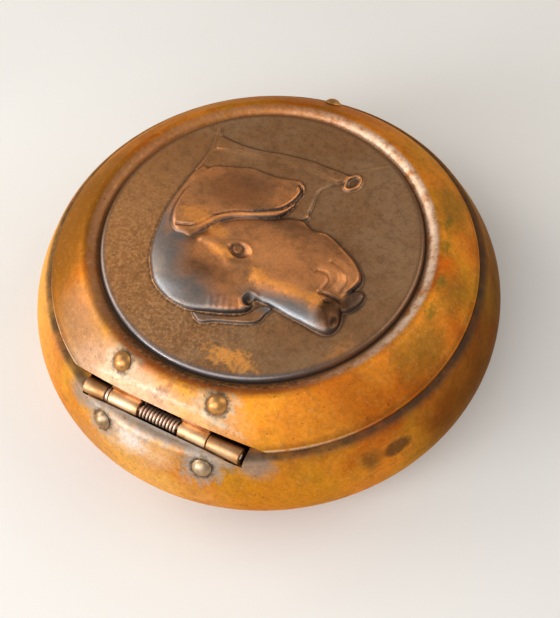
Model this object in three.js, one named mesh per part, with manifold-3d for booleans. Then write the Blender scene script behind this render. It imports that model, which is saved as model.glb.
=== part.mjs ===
// Round brass pocket box: spun body, sprung hinged lid and a stamped medallion with a hound's head.
// Millimetres, +Z up. The origin is the centre of the flat base, and the hinge lies towards +Y.

import * as THREE from "three";
import { mergeVertices } from "three/addons/utils/BufferGeometryUtils.js";
import Module from "manifold-3d";

const wasm = await Module();
wasm.setup();

// Medallion: a thin stamped disc with a rolled-down edge
const medallionRadius = 28.7;
const medallionInset = 0.2;
const medallionSheet = 0.5;
const medallionRoll = 0.8;
const reliefHeight = 2.1;

// Lid: a domed ring round the medallion, whose crest falls into a recess for it
const sheet = 0.8;
const seatGap = 0.1;
const crestSetback = 2.5;
const crestRise = 6.3;
const crestRound = 2.2;
const crestOuterAngle = 33;
const crestInnerAngle = 55;
const ringWidth = 7.5;
const ringSwell = 0.25;
const rimHeight = 0.6;
const trayDepth = 1.3;
const trayFillet = 0.4;

// Body: a spun bowl with a rounded shoulder, a ledge for the lid and a turned-down mouth lip
const seamGap = 0.05;
const ledgeHeight = 22.8;
const ledgeWidth = 3.15;
const lipBend = 1.2;
const lipDrop = 0.8;
const shoulderReach = 5.25;
const shoulderSlope = 62;
const shoulderRound = 2;
const shoulderHandle = 4;
const bellyHandle = 4.2;
const bellyHeight = 12;
const bellyReach = 16;

// Hinge: barrel of four knuckles with the spring in its middle, measured from the +X end
const barrelRadius = 1.4;
const hingeInset = 2.5;
const barrelStart = 14.6;
const firstKnuckle = 4.2;
const washerLength = 0.5;
const secondKnuckle = 5.6;
const springBay = 7.8;
const thirdKnuckle = 5.2;
const lastKnuckle = 5.85;
const knuckleGap = 0.15;
const barrelGap = 0.3;
const slotEndGap = 0.65;
const slotReach = 6;
const hingeCutGap = 0.75;
const hingeCutLean = 30;
const pinRadius = 0.6;
const pinGap = 0.08;
const pinProud = 0.15;
const pinChamfer = 0.2;

// Leaves: thin plates that follow the underside of the sheet
const leafThickness = 0.6;
const leafGap = 0.15;
const bodyLeafDepth = 6.2;
const lidLeafHalfWidth = 13.6;
const lidLeafReach = 0.8;
const lidLeafSetback = 2;
const leafCorner = 2.5;

// Rivets: domed heads outside, peened heads inside
const headRadius = 1.65;
const headHeight = 0.95;
const shankRadius = 0.75;
const shankGap = 0.06;
const headGap = 0.08;
const peenRadius = 1.3;
const peenHeight = 0.45;
const lidRivetSetback = 2;
const lidRivetX = 8.9;
const bodyRivetSetback = 2.4;
const bodyRivetX = 9.6;
const catchRivetSetback = 2.4;
const holeDepth = 6;
const holeRise = 3;

// Spring: a torsion coil round the pin, with a leg under each leaf
const springWire = 0.34;
const springRadius = 1.1;
const springTurns = 8;
const springSteps = 8;
const springSides = 5;
const springEndGap = 0.15;
const springLegGap = 0.15;
const bodyLegReach = 3;
const lidLegReach = 3.6;

// Catch: a sprung strip under the lid, whose bead presses on the mouth from inside
const catchAngle = 5;
const catchWidth = 5;
const catchSheet = 0.5;
const catchGap = 0.3;
const catchFootEnd = 1.3;
const catchFootLength = 3.5;
const catchBend = 0.5;
const catchSwing = 0.35;
const catchBead = 1;
const catchDepth = 4.2;
const catchTuck = 1.1;

// Facets
const turnSteps = 48;
const barrelSteps = 24;
const rivetSteps = 12;
const reliefRings = 24;

const rad = THREE.MathUtils.degToRad;
const crestRadius = medallionRadius + crestSetback;
const lidRadius = crestRadius + ringWidth;
const ledgeRadius = lidRadius + seamGap;
const mouthRadius = ledgeRadius - ledgeWidth;
const bodyRadius = ledgeRadius + shoulderReach;
const baseRadius = bodyRadius - bellyReach;
const seatHeight = ledgeHeight + seatGap;
const crestHeight = seatHeight + crestRise;
const trayHeight = crestHeight - trayDepth;
const medallionHeight = crestHeight - medallionInset;
const leafOffset = sheet + leafGap;
const hingeY = lidRadius - hingeInset;
const hingeZ = ledgeHeight - leafOffset - leafThickness + barrelRadius;
const lidRivetRadius = crestRadius + lidRivetSetback;
const bodyRivetRadius = ledgeRadius + bodyRivetSetback;
const catchRivetRadius = lidRadius - catchRivetSetback;

// Points (r, z) on an arc whose angle is measured from straight up, towards +r
function arc(centreR, centreZ, radius, from, to, steps) {
  const points = [];
  for (let i = 0; i <= steps; i++) {
    const angle = rad(from + ((to - from) * i) / steps);
    const r = centreR + radius * Math.sin(angle);
    const z = centreZ + radius * Math.cos(angle);
    points.push(new THREE.Vector2(r, z));
  }
  return points;
}

// The path moved sideways: a positive distance moves it to the left of its direction
function offsetPath(path, distance) {
  const directions = path.slice(1).map((point, i) => point.clone().sub(path[i]).normalize());
  return path.map((point, i) => {
    const before = directions[Math.max(i - 1, 0)];
    const after = directions[Math.min(i, directions.length - 1)];
    const bisector = before.clone().add(after).normalize();
    const normal = new THREE.Vector2(-bisector.y, bisector.x);
    const mitre = 1 / Math.max(bisector.dot(after), 0.5);
    return point.clone().addScaledVector(normal, distance * mitre);
  });
}

// The belly from the base up, then the shoulder up to the ledge
function bellyPath(steps) {
  const points = [];
  for (let i = 0; i <= steps; i++) {
    const angle = rad((90 * i) / steps);
    const r = baseRadius + (bodyRadius - baseRadius) * Math.sin(angle);
    const z = bellyHeight - bellyHeight * Math.cos(angle);
    points.push(new THREE.Vector2(r, z));
  }
  return points;
}

function shoulderPath(steps, roundSteps) {
  const round = arc(ledgeRadius, ledgeHeight - shoulderRound, shoulderRound, shoulderSlope, 0, roundSteps);
  const slope = rad(shoulderSlope);
  const belly = new THREE.Vector2(bodyRadius, bellyHeight);
  const bellyPull = new THREE.Vector2(bodyRadius, bellyHeight + bellyHandle);
  const topPull = round[0].clone();
  topPull.x += shoulderHandle * Math.cos(slope);
  topPull.y -= shoulderHandle * Math.sin(slope);
  const rise = new THREE.CubicBezierCurve(belly, bellyPull, topPull, round[0]);
  return [...rise.getPoints(steps).slice(0, -1), ...round];
}

function bodyPath(bellySteps, shoulderSteps, roundSteps) {
  const lip = arc(mouthRadius + lipBend, ledgeHeight - lipBend, lipBend, 0, -90, roundSteps);
  const lipEnd = new THREE.Vector2(mouthRadius, ledgeHeight - lipBend - lipDrop);
  return [
    new THREE.Vector2(0, 0),
    ...bellyPath(bellySteps).slice(0, -1),
    ...shoulderPath(shoulderSteps, roundSteps),
    ...lip,
    lipEnd,
  ];
}

// The lid's outer slope from the crest down to the rim, slightly swollen
function ringPath(steps) {
  const start = arc(crestRadius, crestHeight - crestRound, crestRound, crestOuterAngle, 0, 1)[0];
  const end = new THREE.Vector2(lidRadius, seatHeight + rimHeight);
  const run = end.clone().sub(start);
  const points = [];
  for (let i = 0; i <= steps; i++) {
    const share = i / steps;
    const swell = 4 * ringSwell * share * (1 - share);
    const point = start.clone().addScaledVector(run, share);
    point.x -= (swell * run.y) / run.length();
    point.y += (swell * run.x) / run.length();
    points.push(point);
  }
  return points;
}

function crestPath(steps) {
  return arc(crestRadius, crestHeight - crestRound, crestRound, -crestInnerAngle, crestOuterAngle, steps);
}

// The recess floor, its fillet, the crest and the ring, from the axis outwards
function lidPath(filletSteps, crestSteps, ringSteps) {
  const crest = crestPath(crestSteps);
  const wall = rad(crestInnerAngle);
  const cornerR = crest[0].x - (crest[0].y - trayHeight) / Math.tan(wall);
  const filletR = cornerR - trayFillet * Math.tan(wall / 2);
  const fillet = [];
  for (let i = 0; i <= filletSteps; i++) {
    const angle = (wall * i) / filletSteps;
    const r = filletR + trayFillet * Math.sin(angle);
    const z = trayHeight + trayFillet * (1 - Math.cos(angle));
    fillet.push(new THREE.Vector2(r, z));
  }
  return [new THREE.Vector2(0, trayHeight), ...fillet, ...crest, ...ringPath(ringSteps).slice(1)];
}

// Where a path from the axis outwards passes a radius beyond a given start: point and outward normal
function surfaceAt(path, radius) {
  let index = path.length - 1;
  while (index > 1 && (path[index - 1].x - radius) * (path[index].x - radius) > 0) index--;
  const from = path[index - 1];
  const run = path[index].clone().sub(from);
  const point = from.clone().addScaledVector(run, (radius - from.x) / run.x);
  const normal = new THREE.Vector2(run.y, -run.x).normalize();
  if (normal.y < 0) normal.negate();
  return { point, normal };
}

// A closed triangle mesh as a solid, and back
function volumeOf(geometry) {
  const position = geometry.getAttribute("position");
  const index = geometry.getIndex();
  const corners = [new THREE.Vector3(), new THREE.Vector3(), new THREE.Vector3()];
  let sum = 0;
  for (let i = 0; i < index.count; i += 3) {
    corners.forEach((corner, k) => corner.fromBufferAttribute(position, index.getX(i + k)));
    sum += corners[0].dot(corners[1].clone().cross(corners[2]));
  }
  return sum / 6;
}

function closed(geometry) {
  geometry.deleteAttribute("normal");
  geometry.deleteAttribute("uv");
  const merged = mergeVertices(geometry, 1e-4);
  const index = Array.from(merged.getIndex().array);
  const kept = [];
  for (let i = 0; i < index.length; i += 3) {
    const [a, b, c] = index.slice(i, i + 3);
    if (a !== b && b !== c && c !== a) kept.push(a, b, c);
  }
  merged.setIndex(kept);
  if (volumeOf(merged) < 0) merged.setIndex(kept.reverse());
  return merged;
}

function solid(geometry) {
  const mesh = closed(geometry);
  const vertProperties = new Float32Array(mesh.getAttribute("position").array);
  const triVerts = new Uint32Array(mesh.getIndex().array);
  return new wasm.Manifold(new wasm.Mesh({ numProp: 3, vertProperties, triVerts }));
}

function geometryOf(body) {
  const mesh = body.getMesh();
  const geometry = new THREE.BufferGeometry();
  geometry.setAttribute("position", new THREE.BufferAttribute(new Float32Array(mesh.vertProperties), 3));
  geometry.setIndex(Array.from(mesh.triVerts));
  return geometry;
}

// A profile (r, z) turned about the upright axis
function turned(profile, steps) {
  return new THREE.LatheGeometry(profile, steps).rotateX(Math.PI / 2);
}

// A ring or cylinder along X between two places on the hinge axis
function barrel(fromX, toX, radius, bore) {
  const profile = [
    new THREE.Vector2(bore, fromX),
    new THREE.Vector2(radius, fromX),
    new THREE.Vector2(radius, toX),
    new THREE.Vector2(bore, toX),
  ];
  if (bore > 0) profile.push(profile[0].clone());
  return turned(profile, barrelSteps).rotateY(Math.PI / 2).translate(0, hingeY, hingeZ);
}

function box(fromX, toX, fromY, toY, fromZ, toZ) {
  const geometry = new THREE.BoxGeometry(toX - fromX, toY - fromY, toZ - fromZ);
  return geometry.translate((fromX + toX) / 2, (fromY + toY) / 2, (fromZ + toZ) / 2);
}

// Moves a shape made along +Z so that it stands on the turned surface at an azimuth
function standOn(geometry, surface, azimuth) {
  const lean = Math.atan2(surface.normal.x, surface.normal.y);
  geometry.rotateY(lean).translate(surface.point.x, 0, surface.point.y);
  return geometry.rotateZ(azimuth);
}

function rod(radius, fromZ, toZ) {
  const profile = [
    new THREE.Vector2(0, fromZ),
    new THREE.Vector2(radius, fromZ),
    new THREE.Vector2(radius, toZ),
    new THREE.Vector2(0, toZ),
  ];
  return turned(profile, rivetSteps);
}

// Rivet along +Z whose zero is the sheet's outer surface; stack is what it holds together
function rivet(stack) {
  const sphere = (headRadius * headRadius + headHeight * headHeight) / (2 * headHeight);
  const halfAngle = THREE.MathUtils.radToDeg(Math.asin(headRadius / sphere));
  const dome = arc(0, headGap + headHeight - sphere, sphere, 0, halfAngle, 4);
  const inside = -stack - headGap;
  const profile = [
    ...dome,
    new THREE.Vector2(shankRadius, headGap),
    new THREE.Vector2(shankRadius, inside),
    new THREE.Vector2(peenRadius, inside),
    new THREE.Vector2(peenRadius * 0.8, inside - peenHeight),
    new THREE.Vector2(0, inside - peenHeight),
  ];
  return turned(profile, rivetSteps);
}

function rivetHole() {
  return rod(shankRadius + shankGap, -holeDepth, holeRise);
}

// Places along the barrel, from the +X end to the -X end
const firstEnd = barrelStart - firstKnuckle;
const washerStart = firstEnd - knuckleGap;
const washerEnd = washerStart - washerLength;
const secondStart = washerEnd - knuckleGap;
const secondEnd = secondStart - secondKnuckle;
const thirdStart = secondEnd - springBay;
const thirdEnd = thirdStart - thirdKnuckle;
const lastStart = thirdEnd - knuckleGap;
const barrelEnd = lastStart - lastKnuckle;
const slotWall = hingeY + barrelRadius + barrelGap;
const boreRadius = pinRadius + pinGap;

// Places of the rivets
const bodySurface = surfaceAt(shoulderPath(10, 4), bodyRivetRadius);
const lidSurface = surfaceAt(lidPath(1, 4, 12), lidRivetRadius);
const catchSurface = surfaceAt(lidPath(1, 4, 12), catchRivetRadius);
const bodyStack = leafOffset + leafThickness;
const catchStack = leafOffset + catchSheet;

function hingeAzimuth(x, radius) {
  return Math.PI / 2 - Math.asin(x / radius);
}

const catchAzimuth = -Math.PI / 2 + rad(catchAngle);
const bodyRivets = [bodyRivetX, -bodyRivetX].map((x) => hingeAzimuth(x, bodyRivetRadius));
const lidRivets = [lidRivetX, -lidRivetX].map((x) => hingeAzimuth(x, lidRivetRadius));

// The opening at the hinge: straight towards the mouth, and round the barrel on its outer side
function hingeSlot() {
  const fromX = barrelEnd - slotEndGap;
  const toX = barrelStart + barrelGap;
  const lip = mouthRadius + lipBend;
  const way = box(fromX, toX, mouthRadius - slotReach, lip, ledgeHeight - slotReach, crestHeight);
  return solid(way).add(solid(barrel(fromX, toX, barrelRadius + barrelGap, 0)));
}

function bodyShell() {
  const outer = bodyPath(6, 5, 2);
  const inner = offsetPath(bodyPath(5, 4, 2), sheet).reverse();
  inner[inner.length - 1].x = 0;
  let shell = solid(turned([...outer, ...inner], turnSteps));
  shell = shell.subtract(hingeSlot());
  for (const azimuth of bodyRivets) {
    shell = shell.subtract(solid(standOn(rivetHole(), bodySurface, azimuth)));
  }
  return geometryOf(shell);
}

// The space outside the straight, leaning cut at the hinge
function hingeCut() {
  const depth = bodyRadius / 2;
  const block = new THREE.BoxGeometry(bodyRadius, depth, 2 * depth);
  block.translate(0, depth / 2 - barrelRadius - hingeCutGap, 0).rotateX(-rad(hingeCutLean));
  return block.translate(0, hingeY, hingeZ);
}

function lidShell() {
  const top = lidPath(1, 5, 4);
  const under = offsetPath(lidPath(1, 4, 3), -sheet);
  under[0].x = 0;
  const last = under.length - 1;
  const slant = under[last].clone().sub(under[last - 1]);
  under[last].addScaledVector(slant, (seatHeight - under[last].y) / slant.y);
  const rim = new THREE.Vector2(lidRadius, seatHeight);
  let shell = solid(turned([...under, rim, ...top.reverse()], turnSteps));
  shell = shell.subtract(solid(hingeCut()));
  for (const azimuth of lidRivets) {
    shell = shell.subtract(solid(standOn(rivetHole(), lidSurface, azimuth)));
  }
  return geometryOf(shell.subtract(solid(standOn(rivetHole(), catchSurface, catchAzimuth))));
}

// A plate of revolution between two depths under a path
function turnedPlate(path, near, far) {
  const top = offsetPath(path, near);
  const under = offsetPath(path, far).reverse();
  const profile = [...top, ...under, top[0].clone()];
  return solid(turned(profile, turnSteps));
}

// A prism along Y with the outline of a plate seen from behind, its lower corners rounded
function platePrism(fromX, toX, fromZ, toZ, fromY, toY) {
  const outline = new THREE.Shape();
  outline.moveTo(fromX, toZ);
  outline.lineTo(fromX, fromZ + leafCorner);
  outline.absarc(fromX + leafCorner, fromZ + leafCorner, leafCorner, Math.PI, 1.5 * Math.PI, false);
  outline.absarc(toX - leafCorner, fromZ + leafCorner, leafCorner, 1.5 * Math.PI, 2 * Math.PI, false);
  outline.lineTo(toX, toZ);
  const prism = new THREE.ExtrudeGeometry(outline, { depth: toY - fromY, bevelEnabled: false, curveSegments: 3 });
  return prism.rotateX(Math.PI / 2).translate(0, toY, 0);
}

function bodyLeaf() {
  const shoulder = shoulderPath(6, 3);
  const path = [...shoulder, new THREE.Vector2(hingeY - 1, ledgeHeight)];
  const plate = turnedPlate(path, leafOffset, leafOffset + leafThickness);
  const fromX = barrelEnd;
  const toX = barrelStart;
  const lowest = ledgeHeight - bodyLeafDepth;
  const apron = solid(platePrism(fromX, toX, lowest, ledgeHeight, slotWall, bodyRadius));
  const firstTab = solid(box(firstEnd, toX, hingeY, slotWall + 0.1, lowest, ledgeHeight));
  const lastTab = solid(box(fromX, lastStart, hingeY, slotWall + 0.1, lowest, ledgeHeight));
  let leaf = plate.intersect(apron.add(firstTab).add(lastTab));
  leaf = leaf.add(solid(barrel(firstEnd, toX, barrelRadius, 0)));
  leaf = leaf.add(solid(barrel(fromX, lastStart, barrelRadius, 0)));
  leaf = leaf.subtract(solid(barrel(fromX - 1, toX + 1, boreRadius, 0)));
  for (const azimuth of bodyRivets) {
    leaf = leaf.subtract(solid(standOn(rivetHole(), bodySurface, azimuth)));
  }
  return geometryOf(leaf);
}

// The leaf between two places along the barrel, carried on to the barrel and turned down on its inner side
function lidLug(plate, underLid, fromX, toX) {
  const inner = hingeY - barrelRadius;
  const outer = inner + leafThickness;
  const level = plate.intersect(solid(box(fromX, toX, hingeY - 2 * lidLeafSetback, outer, hingeZ, crestHeight)));
  return level.add(underLid.intersect(solid(box(fromX, toX, inner, outer, hingeZ, crestHeight))));
}

function lidLeaf() {
  const path = lidPath(1, 4, 6).filter((point) => point.x > crestRadius - crestRound / 2);
  const plate = turnedPlate(path, -leafOffset, -leafOffset - leafThickness);
  const underLid = turnedPlate(path, -leafOffset, -leafOffset - 2 * barrelRadius);
  const halfWidth = lidLeafHalfWidth;
  const inner = crestRadius - lidLeafReach;
  const apron = box(-halfWidth, halfWidth, inner - leafCorner, hingeY - lidLeafSetback, ledgeHeight, crestHeight);
  let leaf = plate.intersect(solid(apron)).subtract(solid(rod(inner, ledgeHeight, crestHeight)));
  for (const [fromX, toX] of [[secondEnd, secondStart], [thirdEnd, thirdStart]]) {
    leaf = leaf.add(lidLug(plate, underLid, fromX, toX));
    leaf = leaf.add(solid(barrel(fromX, toX, barrelRadius, 0)));
  }
  leaf = leaf.subtract(solid(barrel(barrelEnd, barrelStart, boreRadius, 0)));
  for (const azimuth of lidRivets) {
    leaf = leaf.subtract(solid(standOn(rivetHole(), lidSurface, azimuth)));
  }
  return geometryOf(leaf);
}

function hingePin() {
  const from = barrelEnd - pinProud;
  const to = barrelStart + pinProud;
  const profile = [
    new THREE.Vector2(0, from),
    new THREE.Vector2(pinRadius - pinChamfer, from),
    new THREE.Vector2(pinRadius, from + pinChamfer),
    new THREE.Vector2(pinRadius, to - pinChamfer),
    new THREE.Vector2(pinRadius - pinChamfer, to),
    new THREE.Vector2(0, to),
  ];
  return closed(turned(profile, barrelSteps).rotateY(Math.PI / 2).translate(0, hingeY, hingeZ));
}

// An unbroken tube through points, with flat ends
function tubeThrough(points, radius, sides) {
  const last = points.length - 1;
  const positions = [];
  const side = new THREE.Vector3(1, 0, 0);
  points.forEach((point, i) => {
    const along = points[Math.min(i + 1, last)].clone().sub(points[Math.max(i - 1, 0)]).normalize();
    side.addScaledVector(along, -side.dot(along)).normalize();
    const other = along.clone().cross(side);
    for (let k = 0; k < sides; k++) {
      const angle = (2 * Math.PI * k) / sides;
      const corner = point.clone().addScaledVector(side, radius * Math.cos(angle));
      corner.addScaledVector(other, radius * Math.sin(angle));
      positions.push(...corner.toArray());
    }
  });
  const index = [];
  for (let i = 0; i < last; i++) {
    for (let k = 0; k < sides; k++) {
      const a = i * sides + k;
      const b = i * sides + ((k + 1) % sides);
      index.push(a, b, b + sides, a, b + sides, a + sides);
    }
  }
  for (let k = 1; k < sides - 1; k++) {
    index.push(0, k + 1, k);
    index.push(last * sides, last * sides + k, last * sides + k + 1);
  }
  const geometry = new THREE.BufferGeometry();
  geometry.setAttribute("position", new THREE.Float32BufferAttribute(positions, 3));
  geometry.setIndex(index);
  return closed(geometry);
}

// The tip of a spring leg under a leaf, seen along the hinge, as a point (y, z)
function legTip(underside, reachY, x) {
  const above = surfaceAt(underside, Math.hypot(reachY, x));
  const drop = (springLegGap + springWire / 2) / above.normal.y;
  return new THREE.Vector2(reachY, above.point.y - drop);
}

// Where a leg that comes from the tip touches the coil, as an angle from +Y towards +Z
function touchAngle(tip, below) {
  const away = new THREE.Vector2(tip.x - hingeY, tip.y - hingeZ);
  const spread = Math.acos(springRadius / away.length());
  return away.angle() + below * spread;
}

function coilPoint(x, angle) {
  return new THREE.Vector3(x, hingeY + springRadius * Math.cos(angle), hingeZ + springRadius * Math.sin(angle));
}

// Least distance between the surfaces of turns that lie at least half a turn apart
function leastGap(points) {
  let least = Infinity;
  points.forEach((point, i) => {
    for (const other of points.slice(i + springSteps / 2 + 1)) {
      least = Math.min(least, point.distanceTo(other));
    }
  });
  return least - springWire;
}

function hingeSpring() {
  const fromX = thirdStart + springEndGap + springWire / 2;
  const toX = secondEnd - springEndGap - springWire / 2;
  const depth = leafOffset + leafThickness;
  const bodyTip = legTip(offsetPath(shoulderPath(6, 3), depth), hingeY + bodyLegReach, fromX);
  const lidTip = legTip(offsetPath(ringPath(6), -depth), hingeY - lidLegReach, toX);
  const start = touchAngle(bodyTip, -1);
  const end = touchAngle(lidTip, 1) - 2 * Math.PI * (springTurns + 1);
  const steps = Math.round(((start - end) / (2 * Math.PI)) * springSteps);
  const points = [new THREE.Vector3(fromX, bodyTip.x, bodyTip.y)];
  for (let i = 0; i <= steps; i++) {
    points.push(coilPoint(fromX + ((toX - fromX) * i) / steps, start + ((end - start) * i) / steps));
  }
  points.push(new THREE.Vector3(toX, lidTip.x, lidTip.y));
  console.log(`hinge_spring: least gap between turns ${leastGap(points.slice(1, -1)).toFixed(3)} mm`);
  return tubeThrough(points, springWire / 2, springSides);
}

// The bent strip of the catch in its own upright plane (r, z), from the foot's outer end down to the tip
function catchStrip() {
  const footOuter = lidRadius - catchFootEnd;
  const footInner = footOuter - catchFootLength;
  const ring = lidPath(1, 4, 12).filter((point) => point.x > footInner && point.x < footOuter);
  const depth = leafOffset + catchSheet / 2;
  const foot = offsetPath(ring, -depth).reverse();
  const pressR = mouthRadius - catchGap - catchSheet / 2;
  const pressZ = ledgeHeight - lipBend - lipDrop / 2;
  const footEnd = foot[foot.length - 1];
  const fall = new THREE.SplineCurve([
    new THREE.Vector2(footEnd.x - catchBend, footEnd.y - catchBend / 3),
    new THREE.Vector2(footEnd.x - catchBend, footEnd.y - 2 * catchBend),
    new THREE.Vector2(pressR - catchSwing, pressZ + catchBead),
    new THREE.Vector2(pressR, pressZ),
    new THREE.Vector2(pressR - catchSwing, pressZ - catchBead),
    new THREE.Vector2(pressR - catchTuck, ledgeHeight - catchDepth),
  ]);
  return [...foot, ...fall.getPoints(14)];
}

function catchTongue() {
  const strip = catchStrip();
  const outline = [...offsetPath(strip, catchSheet / 2), ...offsetPath(strip, -catchSheet / 2).reverse()];
  const blade = new THREE.ExtrudeGeometry(new THREE.Shape(outline), { depth: catchWidth, bevelEnabled: false });
  blade.translate(0, 0, -catchWidth / 2).rotateX(Math.PI / 2).rotateZ(catchAzimuth);
  return geometryOf(solid(blade).subtract(solid(standOn(rivetHole(), catchSurface, catchAzimuth))));
}

// Relief of the hound's head. Outlines are in hundredths of the medallion's radius, +y towards the hinge.
const headOutline = [
  [-29.5, -15], [-37.5, -16], [-49.5, -11], [-61, -5], [-69, 2], [-70.5, 11], [-67, 20.5], [-69, 30], [-69.5, 41.5],
  [-63.5, 47.5], [-51.5, 47], [-37, 45.5], [-24, 44.5], [-20, 46.5], [-19, 53.5], [-13, 57.5], [2.5, 63.5], [18, 67],
  [36, 62.5], [49, 51], [57.5, 30.5], [59, 9], [55, -1], [39, -12], [13, -17], [-9, -17.5], [-21, -18.5],
];
const earOutline = [
  [42, 25.5], [47, 25.5], [55.5, 16.5], [61, -1.5], [61.5, -12], [57, -30], [54, -34], [37, -40], [14, -43],
  [-6, -46], [-10, -42.5], [-11.5, -29.5], [-6.5, -14.5], [6.5, -5], [24, 7], [33, 23],
];
const neckOutline = [
  [67.5, -70.5], [62, -49.5], [63, -25.5], [62, 1], [30.5, 3.5], [-4.5, -9.5], [-21, -20.5], [-19.5, -35.5],
  [-20.5, -48], [-29, -60], [-31.5, -65.5], [-13.5, -77.5], [19.5, -85.5], [57, -79],
];
const farBrowOutline = [
  [10.5, 68], [1.5, 71.5], [-16.5, 63.5], [-29, 56], [-31.5, 46], [-24.5, 46.5], [-19.5, 54], [1.5, 64.5],
];
const farLipOutline = [[-67, 22], [-72.5, 11], [-77, 16], [-74, 30.5], [-68.5, 30]];
const collarOutline = [
  [60, -59], [38.5, -58.5], [17, -62.5], [-13.5, -64.5], [-32, -63.5], [-24.5, -55.5], [-0.5, -57], [32, -52.5],
  [58.5, -47.5],
];

// A closed outline as a ring of points in millimetres
function outlineRing(points) {
  const unit = medallionRadius / 100;
  const curve = new THREE.CatmullRomCurve3(
    points.map(([x, y]) => new THREE.Vector3(x * unit, y * unit, 0)),
    true,
    "centripetal",
  );
  return curve.getPoints(3 * points.length).slice(0, -1);
}

// How far a point lies inside an outline, or 0 outside it
function depthInside(ring, x, y) {
  let inside = false;
  let nearest = Infinity;
  ring.forEach((b, i) => {
    const a = ring[(i + ring.length - 1) % ring.length];
    if (a.y > y !== b.y > y && x < a.x + ((b.x - a.x) * (y - a.y)) / (b.y - a.y)) inside = !inside;
    const run = (x - a.x) * (b.x - a.x) + (y - a.y) * (b.y - a.y);
    const share = THREE.MathUtils.clamp(run / ((b.x - a.x) ** 2 + (b.y - a.y) ** 2), 0, 1);
    nearest = Math.min(nearest, Math.hypot(x - a.x - share * (b.x - a.x), y - a.y - share * (b.y - a.y)));
  });
  return inside ? nearest : 0;
}

// A swelling that rises from its edge in a quarter round of a given width
function swell(depth, width) {
  const share = THREE.MathUtils.clamp(depth / width, 0, 1);
  return Math.sqrt(1 - (1 - share) ** 2);
}

// A rounded button on the relief: 1 at its centre, 0 at its elliptical edge
function button(x, y, centreX, centreY, halfX, halfY) {
  const unit = medallionRadius / 100;
  const reach = Math.hypot((x / unit - centreX) / halfX, (y / unit - centreY) / halfY);
  return swell(Math.max(1 - reach, 0), 1);
}

const head = outlineRing(headOutline);
const ear = outlineRing(earOutline);
const neck = outlineRing(neckOutline);
const farBrow = outlineRing(farBrowOutline);
const farLip = outlineRing(farLipOutline);
const collar = outlineRing(collarOutline);

function reliefAt(x, y) {
  const skull = reliefHeight * swell(depthInside(head, x, y), 0.2 * medallionRadius);
  const flap = 0.95 * reliefHeight * swell(depthInside(ear, x, y), 0.05 * medallionRadius);
  const throat = 0.35 * reliefHeight * swell(depthInside(neck, x, y), 0.08 * medallionRadius);
  const band = 0.15 * reliefHeight * swell(depthInside(collar, x, y), 0.03 * medallionRadius);
  const behind = 0.35 * reliefHeight * swell(depthInside(farBrow, x, y), 0.04 * medallionRadius);
  const lip = 0.35 * reliefHeight * swell(depthInside(farLip, x, y), 0.04 * medallionRadius);
  const nose = 0.3 * reliefHeight * button(x, y, -59, 35, 12, 12);
  const eye = 0.25 * reliefHeight * button(x, y, 5.5, 19.5, 7, 5);
  const socket = 0.2 * reliefHeight * button(x, y, 3, 22, 14, 11);
  return Math.max(skull + nose + eye - socket, flap, throat + band, behind, lip);
}

// The hollow reverse follows the broad forms only, well inside their outlines
function hollowAt(x, y) {
  const inset = 0.05 * medallionRadius;
  const skull = 0.55 * reliefHeight * swell(depthInside(head, x, y) - inset, 0.25 * medallionRadius);
  const flap = 0.4 * reliefHeight * swell(depthInside(ear, x, y) - inset, 0.2 * medallionRadius);
  return Math.max(skull, flap);
}

// Points of a disc whose rings gain one more point per sector each; radius and height come from functions
function discRings(rings, sectors, radiusOf, heightOf) {
  const positions = [0, 0, heightOf(0, 0, 0)];
  for (let ring = 1; ring <= rings; ring++) {
    for (let i = 0; i < sectors * ring; i++) {
      const angle = (2 * Math.PI * i) / (sectors * ring);
      const x = radiusOf(ring) * Math.cos(angle);
      const y = radiusOf(ring) * Math.sin(angle);
      positions.push(x, y, heightOf(x, y, ring));
    }
  }
  return positions;
}

function ringStart(ring, sectors) {
  return ring === 0 ? 0 : 1 + (sectors * ring * (ring - 1)) / 2;
}

function discFaces(rings, sectors, first, flip) {
  const faces = [];
  const place = (ring, i) => first + ringStart(ring, sectors) + (ring === 0 ? 0 : i % (sectors * ring));
  const add = (a, b, c) => faces.push(a, flip ? c : b, flip ? b : c);
  for (let ring = 1; ring <= rings; ring++) {
    for (let sector = 0; sector < sectors; sector++) {
      for (let j = 0; j < ring; j++) {
        const outer = sector * ring + j;
        const inner = sector * (ring - 1) + j;
        add(place(ring, outer), place(ring, outer + 1), place(ring - 1, inner));
        if (j < ring - 1) add(place(ring, outer + 1), place(ring - 1, inner + 1), place(ring - 1, inner));
      }
    }
  }
  return faces;
}

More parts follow.
